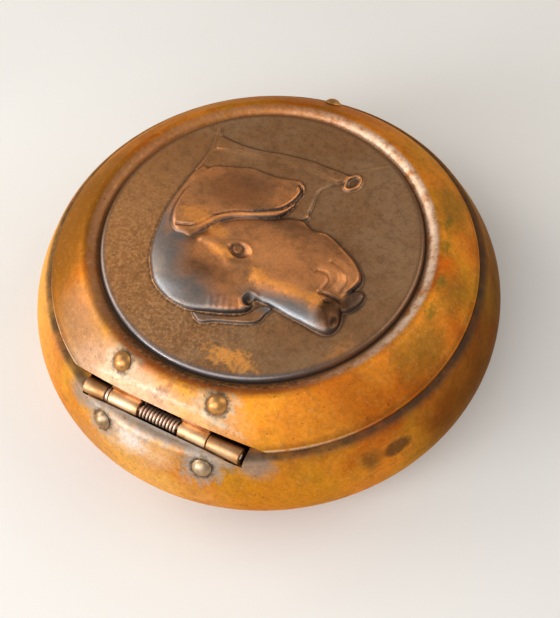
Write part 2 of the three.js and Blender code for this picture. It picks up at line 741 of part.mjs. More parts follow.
// The stamped sheet: fine rings above, half as many below, joined by the rolled edge
function medallionDisc() {
  const sectors = 6;
  const flatRadius = medallionRadius - medallionRoll;
  const foot = trayHeight + seatGap;
  const topRings = reliefRings;
  const underRings = reliefRings / 2;
  const rollAngle = [0, 45, 90];
  const topRadius = (ring) => {
    const roll = ring - (topRings - 2);
    if (roll <= 0) return (flatRadius * ring) / (topRings - 2);
    return flatRadius + medallionRoll * Math.sin(rad(rollAngle[roll]));
  };
  const topHeight = (x, y, ring) => {
    const roll = Math.max(ring - (topRings - 2), 0);
    if (roll > 0) return medallionHeight - medallionRoll * (1 - Math.cos(rad(rollAngle[roll])));
    return medallionHeight + reliefAt(x, y);
  };
  const innerRadius = flatRadius - 0.1;
  const underRadius = (ring) => (innerRadius * Math.min(ring, underRings - 1)) / (underRings - 1);
  const skirtRadius = medallionRadius - medallionSheet;
  const underHeight = (x, y, ring) => {
    if (ring === underRings) return foot;
    return medallionHeight - medallionSheet + hollowAt(x, y);
  };
  const top = discRings(topRings, sectors, topRadius, topHeight);
  const under = discRings(
    underRings,
    sectors,
    (ring) => (ring === underRings ? skirtRadius : underRadius(ring)),
    underHeight,
  );
  const topCount = top.length / 3;
  const underFirst = topCount;
  const skirtFirst = topCount + under.length / 3;
  const edgeCount = sectors * topRings;
  const skirt = [];
  for (let i = 0; i < edgeCount; i++) {
    const angle = (2 * Math.PI * i) / edgeCount;
    skirt.push(medallionRadius * Math.cos(angle), medallionRadius * Math.sin(angle), foot);
  }
  const faces = [
    ...discFaces(topRings, sectors, 0, false),
    ...discFaces(underRings, sectors, underFirst, true),
  ];
  const topEdge = ringStart(topRings, sectors);
  const underEdge = underFirst + ringStart(underRings, sectors);
  for (let i = 0; i < edgeCount; i++) {
    const next = (i + 1) % edgeCount;
    faces.push(topEdge + i, skirtFirst + i, topEdge + next);
    faces.push(topEdge + next, skirtFirst + i, skirtFirst + next);
  }
  for (let i = 0; i < edgeCount / 2; i++) {
    const next = (i + 1) % (edgeCount / 2);
    const outer = [2 * i, 2 * i + 1, (2 * i + 2) % edgeCount].map((place) => skirtFirst + place);
    faces.push(outer[0], underEdge + i, outer[1]);
    faces.push(outer[1], underEdge + i, underEdge + next);
    faces.push(outer[1], underEdge + next, outer[2]);
  }
  const geometry = new THREE.BufferGeometry();
  geometry.setAttribute("position", new THREE.Float32BufferAttribute([...top, ...under, ...skirt], 3));
  geometry.setIndex(faces);
  return closed(geometry);
}

function metal(color, roughness) {
  return new THREE.MeshStandardMaterial({ color, roughness, metalness: 1 });
}

const orangeBrass = metal(0xb9762f, 0.42);
const darkBronze = metal(0x5a4232, 0.45);
const hingeBrass = metal(0x9a7a4c, 0.4);
const springSteel = metal(0x7d6a5c, 0.35);

const pocketBox = new THREE.Group();

function place(name, geometry, material) {
  const mesh = new THREE.Mesh(geometry, material.clone());
  mesh.name = name;
  pocketBox.add(mesh);
}

place("body_shell", bodyShell(), orangeBrass);
place("lid_shell", lidShell(), orangeBrass);
place("medallion", medallionDisc(), darkBronze);
place("body_hinge_leaf", bodyLeaf(), hingeBrass);
place("lid_hinge_leaf", lidLeaf(), hingeBrass);
place("hinge_pin", hingePin(), springSteel);
place("hinge_washer", closed(barrel(washerEnd, washerStart, barrelRadius - 0.1, boreRadius)), springSteel);
place("hinge_spring", hingeSpring(), springSteel);
place("catch_tongue", catchTongue(), hingeBrass);
place("catch_rivet", closed(standOn(rivet(catchStack), catchSurface, catchAzimuth)), hingeBrass);
["left", "right"].forEach((side, i) => {
  place(`lid_rivet_${side}`, closed(standOn(rivet(bodyStack), lidSurface, lidRivets[i])), hingeBrass);
  place(`body_rivet_${side}`, closed(standOn(rivet(bodyStack), bodySurface, bodyRivets[i])), hingeBrass);
});

export default pocketBox;
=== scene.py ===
# Round brass pocket box with a sprung hinged lid and a hound's-head medallion.
# Sizes are millimetres in the frame of the part and become metres in make_piece.
import math

import bmesh
import bpy
import numpy as np
from mathutils import Matrix, Vector


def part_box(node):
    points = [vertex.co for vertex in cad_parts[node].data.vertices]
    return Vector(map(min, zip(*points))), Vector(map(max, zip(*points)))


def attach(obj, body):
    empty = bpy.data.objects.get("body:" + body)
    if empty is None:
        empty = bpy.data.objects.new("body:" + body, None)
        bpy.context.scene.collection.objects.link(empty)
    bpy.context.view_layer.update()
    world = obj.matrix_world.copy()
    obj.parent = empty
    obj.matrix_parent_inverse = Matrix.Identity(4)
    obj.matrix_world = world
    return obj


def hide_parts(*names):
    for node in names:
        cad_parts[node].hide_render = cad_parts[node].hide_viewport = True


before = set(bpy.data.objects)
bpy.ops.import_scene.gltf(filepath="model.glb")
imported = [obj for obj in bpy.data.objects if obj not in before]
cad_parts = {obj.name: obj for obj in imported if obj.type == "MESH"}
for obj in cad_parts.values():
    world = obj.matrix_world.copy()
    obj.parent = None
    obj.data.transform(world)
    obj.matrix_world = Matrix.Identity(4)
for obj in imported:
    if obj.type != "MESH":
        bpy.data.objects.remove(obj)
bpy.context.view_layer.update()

MM = 0.001
TURN_STEPS = 240
SEED = 7
SHARP_ANGLE = 35.0
ARC_STEPS = 10
CURVE_STEPS = 24

# Sheet forms
SHEET = 0.8
FLAT_RINGS = (0.0, 10.0, 20.0)
BODY_RADIUS = 44.0
BASE_RADIUS = 28.0
BELLY_HEIGHT = 12.0
SHOULDER_SLOPE = 62.0
SHOULDER_ROUND = 2.0
BELLY_HANDLE = 4.2
SHOULDER_HANDLE = 4.0
LEDGE_HEIGHT = 22.8
LEDGE_RADIUS = 38.75
MOUTH_RADIUS = 35.6
LIP_BEND = 1.2
LIP_DROP = 0.8
SEAT_HEIGHT = LEDGE_HEIGHT + 0.1
LID_RADIUS = 38.7
RIM_HEIGHT = 0.6
RIM_ROUND = 0.15
CREST_HEIGHT = 29.2
CREST_RADIUS = 31.2
CREST_ROUND = 2.2
CREST_OUTER_ANGLE = 33.0
CREST_INNER_ANGLE = 55.0
RING_SWELL = 0.25
TRAY_HEIGHT = 27.9
TRAY_FILLET = 0.4

# Medallion
DISC_RADIUS = 28.7
DISC_HEIGHT = 29.0
DISC_SHEET = 0.5
DISC_ROLL = 0.8
RELIEF_HEIGHT = 2.1
RELIEF_LIMIT = 2.54
RELIEF_SOFT_TOP = 2.25
RELIEF_SOFTENING = 0.29
ROLL_RINGS = 6
DISC_SECTORS = 6
DISC_RINGS = 200

# Hinge, from the +X end
BARREL_RADIUS = 1.4
HINGE_Y = 36.2
LEAF_OFFSET = 0.95
LEAF_THICKNESS = 0.6
HINGE_Z = LEDGE_HEIGHT - LEAF_OFFSET - LEAF_THICKNESS + BARREL_RADIUS
FIRST_KNUCKLE = (14.6, 10.4)
WASHER = (10.25, 9.75)
SECOND_KNUCKLE = (9.6, 4.0)
THIRD_KNUCKLE = (-3.8, -9.0)
LAST_KNUCKLE = (-9.15, -15.0)
BARREL_GAP = 0.3
SLOT_END_GAP = 0.65
HINGE_CUT_GAP = 0.75
HINGE_CUT_LEAN = 30.0
HINGE_CUT_HALF = 30
HINGE_CUT_DEPTH = 20.0
SLOT_REACH = 6
SLOT_TOP = 30
LEAF_CORNER = 2.5
BODY_LEAF_DROP = 6.2
BODY_LEAF_INNER = 38.0
TAB_WIDTH = 3.4
TAB_REACH = 38.2
LID_LEAF_SPAN = (30.4, 36.6)
LID_LEAF_HALF = 13.6
LID_LEAF_BACK = 2.0
LUG_BACK = 2.2
LUG_SLOPE = 41
LUG_LEAN = 40
OVERLAP = 0.1
BORE_RADIUS = 0.68
PIN_RADIUS = 0.6
PIN_END = 0.15
PIN_CHAMFER = 0.2
SPRING_WIRE = 0.46
SPRING_TURNS = 11
SPRING_GAP = 0.1

# Rivets and catch
HEAD_RADIUS = 1.65
HEAD_HEIGHT = 0.95
SHANK_RADIUS = 0.75
PEEN_RADIUS = 1.3
PEEN_ROUND = 0.2
PEEN_HEIGHT = 0.45
HEAD_GAP = 0.08
HEAD_TILT = 0.06
LID_RIVET_RADIUS = 33.2
LID_RIVET_X = 8.9
BODY_RIVET_RADIUS = 41.15
BODY_RIVET_X = 9.6
CATCH_RIVET_RADIUS = 36.3
CATCH_ANGLE = 5.0
CATCH_SPAN = (33.9, 37.4)
CATCH_SHEET = 0.5
CATCH_HALF = 2.5
CATCH_CORNER = 1.6
CATCH_CLEARANCE = 0.55


def arc(centre, radius, start, end, steps):
    """Points (r, z) on an arc whose angle is measured from straight up, towards +r."""
    angles = np.radians(np.linspace(start, end, steps + 1))
    return [(centre[0] + radius * math.sin(a), centre[1] + radius * math.cos(a)) for a in angles]


def bezier(a, b, c, d, steps):
    points = []
    for t in np.linspace(0, 1, steps + 1):
        weights = ((1 - t) ** 3, 3 * t * (1 - t) ** 2, 3 * t * t * (1 - t), t ** 3)
        points.append(tuple(sum(w * p[k] for w, p in zip(weights, (a, b, c, d))) for k in (0, 1)))
    return points


def offset_path(path, distance):
    """The path moved to the left of its direction."""
    points = np.array(path)
    runs = np.diff(points, axis=0)
    runs /= np.linalg.norm(runs, axis=1)[:, None]
    before = np.vstack([runs[:1], runs])
    after = np.vstack([runs, runs[-1:]])
    middle = before + after
    middle /= np.linalg.norm(middle, axis=1)[:, None]
    normal = np.stack([-middle[:, 1], middle[:, 0]], axis=1)
    mitre = 1 / np.maximum((middle * after).sum(axis=1), 0.5)
    return [tuple(p) for p in points + normal * (distance * mitre)[:, None]]


def shoulder_path():
    """The outside of the bowl from its widest place up to the ledge."""
    centre = (LEDGE_RADIUS, LEDGE_HEIGHT - SHOULDER_ROUND)
    rounding = arc(centre, SHOULDER_ROUND, SHOULDER_SLOPE, 0, ARC_STEPS)
    slope = math.radians(SHOULDER_SLOPE)
    top = rounding[0]
    pull = (top[0] + SHOULDER_HANDLE * math.cos(slope), top[1] - SHOULDER_HANDLE * math.sin(slope))
    belly = (BODY_RADIUS, BELLY_HEIGHT)
    return bezier(belly, (BODY_RADIUS, BELLY_HEIGHT + BELLY_HANDLE), pull, top, CURVE_STEPS)[:-1] + rounding


def body_path():
    angles = np.radians(np.linspace(0, 90, CURVE_STEPS + 1))
    width = BODY_RADIUS - BASE_RADIUS
    belly = [(BASE_RADIUS + width * math.sin(a), BELLY_HEIGHT * (1 - math.cos(a))) for a in angles]
    lip = arc((MOUTH_RADIUS + LIP_BEND, LEDGE_HEIGHT - LIP_BEND), LIP_BEND, 0, -90, ARC_STEPS)
    base = [(r, 0.0) for r in FLAT_RINGS]
    return base + belly[:-1] + shoulder_path() + lip + [(MOUTH_RADIUS, LEDGE_HEIGHT - LIP_BEND - LIP_DROP)]


def ring_path(steps):
    """The lid's sloping ring from its crest down to the rim."""
    start = arc((CREST_RADIUS, CREST_HEIGHT - CREST_ROUND), CREST_ROUND, CREST_OUTER_ANGLE, 0, 1)[0]
    end = (LID_RADIUS, SEAT_HEIGHT + RIM_HEIGHT)
    run = (end[0] - start[0], end[1] - start[1])
    length = math.hypot(*run)
    points = []
    for t in np.linspace(0, 1, steps + 1):
        swell = 4 * RING_SWELL * t * (1 - t) / length
        points.append((start[0] + run[0] * t - swell * run[1], start[1] + run[1] * t + swell * run[0]))
    return points


def lid_path():
    centre = (CREST_RADIUS, CREST_HEIGHT - CREST_ROUND)
    crest = arc(centre, CREST_ROUND, -CREST_INNER_ANGLE, CREST_OUTER_ANGLE, 2 * ARC_STEPS)
    wall = math.radians(CREST_INNER_ANGLE)
    corner = crest[0][0] - (crest[0][1] - TRAY_HEIGHT) / math.tan(wall)
    start = corner - TRAY_FILLET * math.tan(wall / 2)
    angles = np.linspace(0, wall, 6)
    fillet = [
        (start + TRAY_FILLET * math.sin(a), TRAY_HEIGHT + TRAY_FILLET * (1 - math.cos(a)))
        for a in angles
    ]
    floor = [(r, TRAY_HEIGHT) for r in FLAT_RINGS]
    return floor + fillet + crest + ring_path(CURVE_STEPS)[1:]


def surface_at(path, radius):
    """The point and outward normal where a path crosses a radius, nearest to its end."""
    for (r0, z0), (r1, z1) in reversed(list(zip(path, path[1:]))):
        if (r0 - radius) * (r1 - radius) <= 0 and r0 != r1:
            share = (radius - r0) / (r1 - r0)
            normal = Vector((z1 - z0, r0 - r1)).normalized()
            if normal.y < 0:
                normal.negate()
            return (radius, z0 + (z1 - z0) * share), normal
    raise ValueError("the path doesn't cross this radius")


# Mesh building

def make_piece(name, verts, faces, material, body, nodes, slot, sharp=SHARP_ANGLE, wear=None):
    """A smooth-shaded piece from millimetre vertices, riding on a body in place of CAD nodes."""
    mesh = bpy.data.meshes.new(name)
    mesh.from_pydata([tuple(np.array(v) * MM) for v in verts], [], [tuple(map(int, f)) for f in faces])
    if wear is not None:
        stored = mesh.attributes.new("wear", "FLOAT", "POINT")
        stored.data.foreach_set("value", np.asarray(wear, dtype=np.float32))
    mesh.validate()
    finish_mesh(mesh, sharp)
    piece = bpy.data.objects.new(name, mesh)
    bpy.context.scene.collection.objects.link(piece)
    piece.data.materials.append(material)
    if body:
        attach(piece, body)
        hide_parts(*nodes)
    return piece


def shade(mesh, sharp=SHARP_ANGLE):
    mesh.shade_smooth()
    mesh.set_sharp_from_angle(angle=math.radians(sharp))


def finish_mesh(mesh, sharp):
    work = bmesh.new()
    work.from_mesh(mesh)
    bmesh.ops.remove_doubles(work, verts=work.verts, dist=1e-7)
    bmesh.ops.recalc_face_normals(work, faces=work.faces)
    work.to_mesh(mesh)
    work.free()
    shade(mesh, sharp)


def turned(profile, steps=TURN_STEPS):
    """A closed profile (r, z) turned about the upright axis; points on the axis are shared."""
    verts, rows = [], []
    for r, z in profile:
        if r < 1e-6:
            rows.append([len(verts)] * steps)
            verts.append((0.0, 0.0, z))
            continue
        rows.append(list(range(len(verts), len(verts) + steps)))
        for i in range(steps):
            angle = 2 * math.pi * i / steps
            verts.append((r * math.cos(angle), r * math.sin(angle), z))
    faces = []
    pairs = list(zip(rows, rows[1:]))
    if profile[0][0] > 1e-6:
        pairs.append((rows[-1], rows[0]))
    for low, high in pairs:
        for i in range(steps):
            j = (i + 1) % steps
            face = list(dict.fromkeys([low[i], low[j], high[j], high[i]]))
            if len(face) > 2:
                faces.append(face)
    return verts, faces


def moved(verts, matrix):
    return [tuple(matrix @ Vector(v)) for v in verts]


def joined(*shapes):
    verts, faces = [], []
    for some_verts, some_faces in shapes:
        faces += [[i + len(verts) for i in face] for face in some_faces]
        verts += list(some_verts)
    return verts, faces


def along_hinge(profile, steps=64):
    """A profile (radius, x) turned about the hinge axis."""
    verts, faces = turned(profile, steps)
    matrix = Matrix.Translation((0, HINGE_Y, HINGE_Z)) @ Matrix.Rotation(math.pi / 2, 4, "Y")
    return moved(verts, matrix), faces


def knuckle(ends, bore=BORE_RADIUS, radius=BARREL_RADIUS, round_off=0.16):
    high, low = ends
    middle = (radius - round_off, low + round_off), (radius - round_off, high - round_off)
    outer = arc(middle[0], round_off, 180, 90, 4) + arc(middle[1], round_off, 90, 0, 4)
    return along_hinge([(bore, low)] + outer + [(bore, high)])


def block(low, high):
    verts = [(x, y, z) for x in (low[0], high[0]) for y in (low[1], high[1]) for z in (low[2], high[2])]
    faces = [(0, 1, 3, 2), (4, 6, 7, 5), (0, 4, 5, 1), (2, 3, 7, 6), (0, 2, 6, 4), (1, 5, 7, 3)]
    return verts, faces


def cut(piece, shape):
    """Takes a closed shape out of a piece."""
    tool = make_piece("tool", *shape, piece.data.materials[0], None, (), None)
    modifier = piece.modifiers.new("cut", "BOOLEAN")
    modifier.object = tool
    modifier.solver = "EXACT"
    graph = bpy.context.evaluated_depsgraph_get()
    mesh = bpy.data.meshes.new_from_object(piece.evaluated_get(graph))
    piece.modifiers.clear()
    piece.data = mesh
    shade(mesh)
    bpy.data.objects.remove(tool)


def curved_plate(path, half_widths, thickness, side_steps=28, centre_x=0.0):
    """A plate under a turned surface: the path is its top in (r, z), with a half width for each point."""
    top, under = [], []
    lower = offset_path(path, thickness)
    for (r, z), (r2, z2), half in zip(path, lower, half_widths):
        for t in np.linspace(-1, 1, side_steps + 1):
            x = centre_x + half * t
            top.append((x, math.sqrt(r * r - x * x), z))
            x2 = x * r2 / r
            under.append((x2, math.sqrt(r2 * r2 - x2 * x2), z2))
    verts = top + under
    across, count, rows = side_steps + 1, len(top), len(path)
    faces = []
    for i in range(rows - 1):
        for j in range(side_steps):
            a = i * across + j
            faces.append((a, a + 1, a + across + 1, a + across))
            faces.append((count + a, count + a + across, count + a + across + 1, count + a + 1))
    for i in range(rows - 1):
        for a, b in ((i * across, (i + 1) * across), ((i + 1) * across + side_steps, i * across + side_steps)):
            faces.append((a, b, count + b, count + a))
    for j in range(side_steps):
        a, b = j, (rows - 1) * across + j
        faces.append((a + 1, a, count + a, count + a + 1))
        faces.append((b, b + 1, count + b + 1, count + b))
    return verts, faces


def wall_of(columns, near, far, floor):
    """A strip along X between two Y places, from columns (x, top) to a floor, or rising and leaf-thick."""
    verts, faces = [], []
    for x, top in columns:
        rise = (far - near) * math.tan(math.radians(LUG_LEAN)) if floor is None else 0.0
        low = [floor, floor] if floor is not None else [top - LEAF_THICKNESS + rise, top - LEAF_THICKNESS]
        verts += [(x, near, low[0]), (x, near, top + rise), (x, far, top), (x, far, low[1])]
    for i in range(len(columns) - 1):
        a = 4 * i
        faces += [(a + k, a + (k + 1) % 4, a + 4 + (k + 1) % 4, a + 4 + k) for k in range(4)]
    last = len(verts) - 4
    faces += [(3, 2, 1, 0), (last, last + 1, last + 2, last + 3)]
    return verts, faces


def tube(points, radius, sides=14):
    points = [Vector(p) for p in points]
    verts, faces = [], []
    side = Vector((1, 0, 0))
    for i, point in enumerate(points):
        along = (points[min(i + 1, len(points) - 1)] - points[max(i - 1, 0)]).normalized()
        side = (side - along * side.dot(along)).normalized()
        other = along.cross(side)
        for k in range(sides):
            angle = 2 * math.pi * k / sides
            verts.append(tuple(point + side * (radius * math.cos(angle)) + other * (radius * math.sin(angle))))
    for i in range(len(points) - 1):
        for k in range(sides):
            a, b = i * sides + k, i * sides + (k + 1) % sides
            faces.append((a, b, b + sides, a + sides))
    faces.append(tuple(reversed(range(sides))))
    faces.append(tuple(range(len(verts) - sides, len(verts))))
    return verts, faces


# Materials

EDGE_TINT = (1.0, 0.72, 0.46, 1.0)


def linear(red, green, blue):
    """A colour as seen, 0 to 255, as a linear RGBA value."""
    channels = [c / 255 for c in (red, green, blue)]
    return [c / 12.92 if c <= 0.04045 else ((c + 0.055) / 1.055) ** 2.4 for c in channels] + [1.0]


class Finish:
    """A procedural finish: colours laid over each other in patterns that follow the piece's own coordinates."""

    def __init__(self, name):
        self.material = bpy.data.materials.new(name)
        self.material.use_nodes = True
        self.tree = self.material.node_tree
        self.shader = self.tree.nodes["Principled BSDF"]
        self.place = self.add("ShaderNodeTexCoord").outputs["Object"]
        self.colour = None

    def add(self, kind, **values):
        node = self.tree.nodes.new(kind)
        for key, value in values.items():
            setattr(node, key, value)
        return node

    def link(self, value, socket):
        """Links a socket, or sets a number or a colour."""
        if isinstance(value, bpy.types.NodeSocket):
            self.tree.links.new(value, socket)
        else:
            socket.default_value = linear(*value) if isinstance(value, tuple) else value

    def math(self, operation, a, b=0.0):
        node = self.add("ShaderNodeMath", operation=operation)
        self.link(a, node.inputs[0])
        self.link(b, node.inputs[1])
        return node.outputs[0]

    def times(self, a, b):
        return self.math("MULTIPLY", a, b)

    def plus(self, a, b):
        return self.math("ADD", a, b)

    def less(self, a, b):
        return self.math("SUBTRACT", a, b)

    def most(self, a, b):
        return self.math("MAXIMUM", a, b)

    def flip(self, value):
        return self.less(1.0, value)

    def noise(self, size, detail=4.0, rough=0.55, stretch=(1, 1, 1), shift=0.0):
        """Noise from 0 to 1 whose blotches are about size millimetres."""
        mapping = self.add("ShaderNodeMapping")
        self.link(self.place, mapping.inputs["Vector"])
        mapping.inputs["Scale"].default_value = [1 / (size * MM * s) for s in stretch]
        mapping.inputs["Location"].default_value = (shift, 2 * shift, 3 * shift)
        node = self.add("ShaderNodeTexNoise")
        self.link(mapping.outputs[0], node.inputs["Vector"])
        node.inputs["Scale"].default_value = 1.0
        node.inputs["Detail"].default_value = detail
        node.inputs["Roughness"].default_value = rough
        return node.outputs["Fac"]

    def step(self, value, low, high):
        """0 below low, 1 above high, smooth between."""
        node = self.add("ShaderNodeMapRange", interpolation_type="SMOOTHSTEP")
        self.link(value, node.inputs["Value"])
        node.inputs["From Min"].default_value = low
        node.inputs["From Max"].default_value = high
        return node.outputs[0]

    def band(self, value, rise, fall):
        """1 between two edges, each given as where it begins and where it ends."""
        return self.times(self.step(value, *rise), self.flip(self.step(value, *fall)))

    def blotches(self, low, high, size, detail, rough=0.55, shift=0.0):
        """Noise made into blotches: none below low, full above high."""
        return self.step(self.noise(size, detail, rough, shift=shift), low, high)

    def mix(self, share, a, b):
        node = self.add("ShaderNodeMix", data_type="RGBA")
        self.link(share, node.inputs["Factor"])
        self.link(a, node.inputs[6])
        self.link(b, node.inputs[7])
        return node.outputs[2]

    def radius(self):
        """Distance from the upright axis, in millimetres."""
        flat = self.add("ShaderNodeVectorMath", operation="MULTIPLY")
        self.link(self.place, flat.inputs[0])
        flat.inputs[1].default_value = (1, 1, 0)
        size = self.add("ShaderNodeVectorMath", operation="LENGTH")
        self.link(flat.outputs[0], size.inputs[0])
        return self.math("DIVIDE", size.outputs["Value"], MM)

    def height(self):
        split = self.add("ShaderNodeSeparateXYZ")
        self.link(self.place, split.inputs[0])
        return self.math("DIVIDE", split.outputs[2], MM)

    def steepness(self):
        """0 where the surface lies flat, 1 where it stands upright."""
        split = self.add("ShaderNodeSeparateXYZ")
        self.link(self.add("ShaderNodeTexCoord").outputs["Normal"], split.inputs[0])
        return self.flip(self.math("ABSOLUTE", split.outputs[2]))

    def wear(self):
        """Above a half on raised edges and below it in creases, as stored with the mesh."""
        return self.add("ShaderNodeAttribute", attribute_name="wear").outputs["Fac"]

    def cover(self, share, colour):
        """Lays a colour over those that are there."""
        self.colour = self.mix(share, self.colour, colour)

    def lay(self, share, strength, colour):
        self.cover(self.times(share, strength), colour)

    def patch(self, centre, reach, soft, ragged, grain, strength, colour):
        self.lay(self.spot(centre, reach, soft, ragged, grain), strength, colour)

    def spot(self, centre, reach, soft=0.5, ragged=0.0, grain=3.0):
        """1 inside an ellipsoid of half sizes reach at centre, in millimetres, fading over its outer share."""
        mapping = self.add("ShaderNodeMapping", vector_type="TEXTURE")
        self.link(self.place, mapping.inputs["Vector"])
        mapping.inputs["Location"].default_value = [c * MM for c in centre]
        mapping.inputs["Scale"].default_value = [r * MM for r in reach]
        size = self.add("ShaderNodeVectorMath", operation="LENGTH")
        self.link(mapping.outputs[0], size.inputs[0])
        away = size.outputs["Value"]
        if ragged:
            wobble = self.less(self.noise(grain, 6.0, 0.65, shift=centre[0] + centre[1]), 0.5)
            away = self.plus(away, self.times(wobble, ragged))
        return self.flip(self.step(away, 1 - soft, 1.0))

    def done(self, metallic, roughness, bumps):
        """Links the channels; bumps are (value, height in millimetres) pairs."""
        self.link(self.colour, self.shader.inputs["Base Color"])
        self.link(metallic, self.shader.inputs["Metallic"])
        self.link(roughness, self.shader.inputs["Roughness"])
        normal = None
        for value, rise in bumps:
            node = self.add("ShaderNodeBump")
            node.inputs["Strength"].default_value = 1.0
            node.inputs["Distance"].default_value = rise * MM
            self.link(value, node.inputs["Height"])
            if normal:
                self.link(normal, node.inputs["Normal"])
            normal = node.outputs[0]
        self.link(normal, self.shader.inputs["Normal"])
        self.shader.inputs["Specular Tint"].default_value = EDGE_TINT
        return self.material


# Colours as seen, 0 to 255
ORANGE = (236, 144, 42)
GOLD = (212, 144, 30)
DEEP_ORANGE = (204, 102, 14)
OLIVE = (122, 98, 34)
BROWN = (88, 54, 22)
GRIME = (52, 42, 34)
TAN = (208, 158, 112)
CREAM = (222, 194, 160)
DARK_BRONZE = (158, 112, 74)
WARM_BRONZE = (224, 144, 86)
COPPER_WEAR_AND_HIGHLIGHT = (255, 166, 82)
COOL_BRONZE = (114, 112, 110)
DARK_STEEL_GREY = (74, 70, 70)


def brass_base(finish):
    """Orange-gold brass with soft blotches and olive and brown patches; returns where it is brown."""
    finish.colour = finish.mix(finish.blotches(0.4, 0.62, 26, 4, 0.6), ORANGE, GOLD)
    finish.cover(finish.blotches(0.46, 0.68, 14, 5, 0.6, shift=3), DEEP_ORANGE)
    finish.lay(finish.blotches(0.42, 0.7, 3.2, 7, 0.7, shift=18), 0.3, (112, 76, 34))
    finish.lay(finish.blotches(0.56, 0.68, 9, 7, 0.68, shift=8), 0.5, OLIVE)
    brown = finish.blotches(0.6, 0.72, 5, 8, 0.72, shift=15)
    finish.lay(brown, 0.55, BROWN)
    return brown


def fine_grain(finish):
    """Small-scale mottling, bright rubbed points and dark specks, over everything else."""
    finish.lay(finish.blotches(0.46, 0.66, 1.5, 7, 0.72, shift=77), 0.2, (120, 84, 46))
    finish.lay(finish.blotches(0.44, 0.7, 0.6, 6, 0.75, shift=27), 0.32, (108, 74, 38))
    finish.lay(finish.blotches(0.52, 0.74, 0.8, 6, 0.7, shift=37), 0.28, (248, 186, 112))
    finish.lay(finish.blotches(0.66, 0.72, 0.7, 3, 0.6, shift=21), 0.6, GRIME)


def hinge_grime(finish, crust):
    """Pale rings of old polish and dark dirt round the rivets of the hinge."""
    for x, radius, path in RIVET_PLACES:
        (r, z), _ = surface_at(path, radius)
        centre = (x, math.sqrt(r * r - x * x), z)
        finish.patch(centre, (4.3, 4.3, 4.3), 0.5, 2.2, 1.0, 0.7, crust)
        finish.patch(centre, (2.6, 2.6, 2.6), 0.36, 0.9, 0.8, 0.9, (72, 60, 50))


def aged(finish, brown, dirt, smoothest):
    """The brass, duller where it is brown or dirty, with soft dents, a fine grain and scratches."""
    dirt = finish.most(finish.times(brown, 0.6), dirt)
    roughness = finish.plus(smoothest, finish.times(dirt, 0.3))
    roughness = finish.plus(roughness, finish.times(finish.noise(3, 6, 0.65, shift=40), 0.2))
    metallic = finish.less(0.82, finish.times(dirt, 0.5))
    scratches = finish.noise(0.5, 2, 0.5, stretch=(9, 0.6, 3), shift=31)
    bumps = [(finish.noise(6, 4, 0.55, shift=4), 0.2), (finish.noise(0.5, 5, 0.65), 0.012), (scratches, 0.008)]
    return finish.done(metallic, roughness, bumps)


def body_finish():
    finish = Finish("body_brass_patina_light_and_shade")
    brown = brass_base(finish)
    radius, height = finish.radius(), finish.height()
    for row in (
        # the first row lightens the bowl's left side to bright orange: a painted pool of light
        ((38, 20, 14), (34, 40, 24), 0.9, 0.3, 8, 0.95, (255, 186, 92)),
        ((-22, 38, 14), (20, 14, 12), 0.8, 0.5, 6, 0.5, (206, 128, 14)),
        ((2, 43, 13), (22, 8, 8), 0.9, 0.8, 5, 0.6, (252, 196, 112)),
        ((3, 41.6, 20.0), (15, 4.4, 4.4), 0.9, 1.6, 3, 0.6, (226, 190, 150)),
        ((13, 43, 14), (9, 7, 7), 0.8, 0.8, 4, 0.6, (198, 136, 82)),
        ((3.4, 40.6, 20.5), (4.4, 3, 3), 0.7, 1.6, 1.6, 0.85, (226, 214, 204)),
    ):
        finish.patch(*row)
    for centre in ((-9.6, 40, 21), (15, 37.5, 21.5), (-17.5, 36, 21.5)):
        finish.patch(centre, (4.5, 3.4, 3.4), 0.7, 0.9, 2, 0.75, (146, 136, 128))
    finish.patch((0, 38.4, 21.8), (19, 2.3, 3), 0.6, 1.8, 1.8, 0.85, (168, 158, 148))
    hinge_grime(finish, (168, 156, 144))
    for row in (
        ((0, 38.05, 22.2), (16, 0.55, 1.6), 0.6, 1.4, 0.8, 0.7, (204, 194, 182)),
        ((-36.8, 22.5, 18.5), (3.4, 3.4, 1.8), 0.4, 0.5, 1.5, 0.75, GRIME),
        ((-33.2, 26.0, 18.4), (3.2, 3.0, 2.6), 0.7, 1.0, 1.4, 0.6, (84, 58, 34)),
    ):
        finish.patch(*row)
    seam = finish.flip(finish.step(finish.math("ABSOLUTE", finish.less(radius, 39.1)), 0.3, 1.6))
    seam = finish.times(seam, finish.step(height, 20.2, 21.6))
    away = finish.flip(finish.spot((0, 39.5, 22), (16, 6, 6), 0.5))
    seam = finish.times(seam, finish.plus(0.25, finish.times(away, 0.75)))
    ragged = finish.blotches(0.3, 0.62, 5, 7, 0.7, shift=12)
    fine_grain(finish)
    # these two patches darken the bowl's right side to deep brown: painted shade
    finish.patch((-40, -20, 10), (40, 52, 34), 0.8, 0.4, 8, 0.85, (64, 28, 4))
    finish.patch((-43, 8, 15), (14, 18, 13), 0.8, 0.4, 6, 0.62, (70, 28, 2))
    finish.lay(seam, finish.plus(0.6, finish.times(ragged, 0.32)), GRIME)
    return aged(finish, brown, finish.times(seam, 0.8), 0.4)


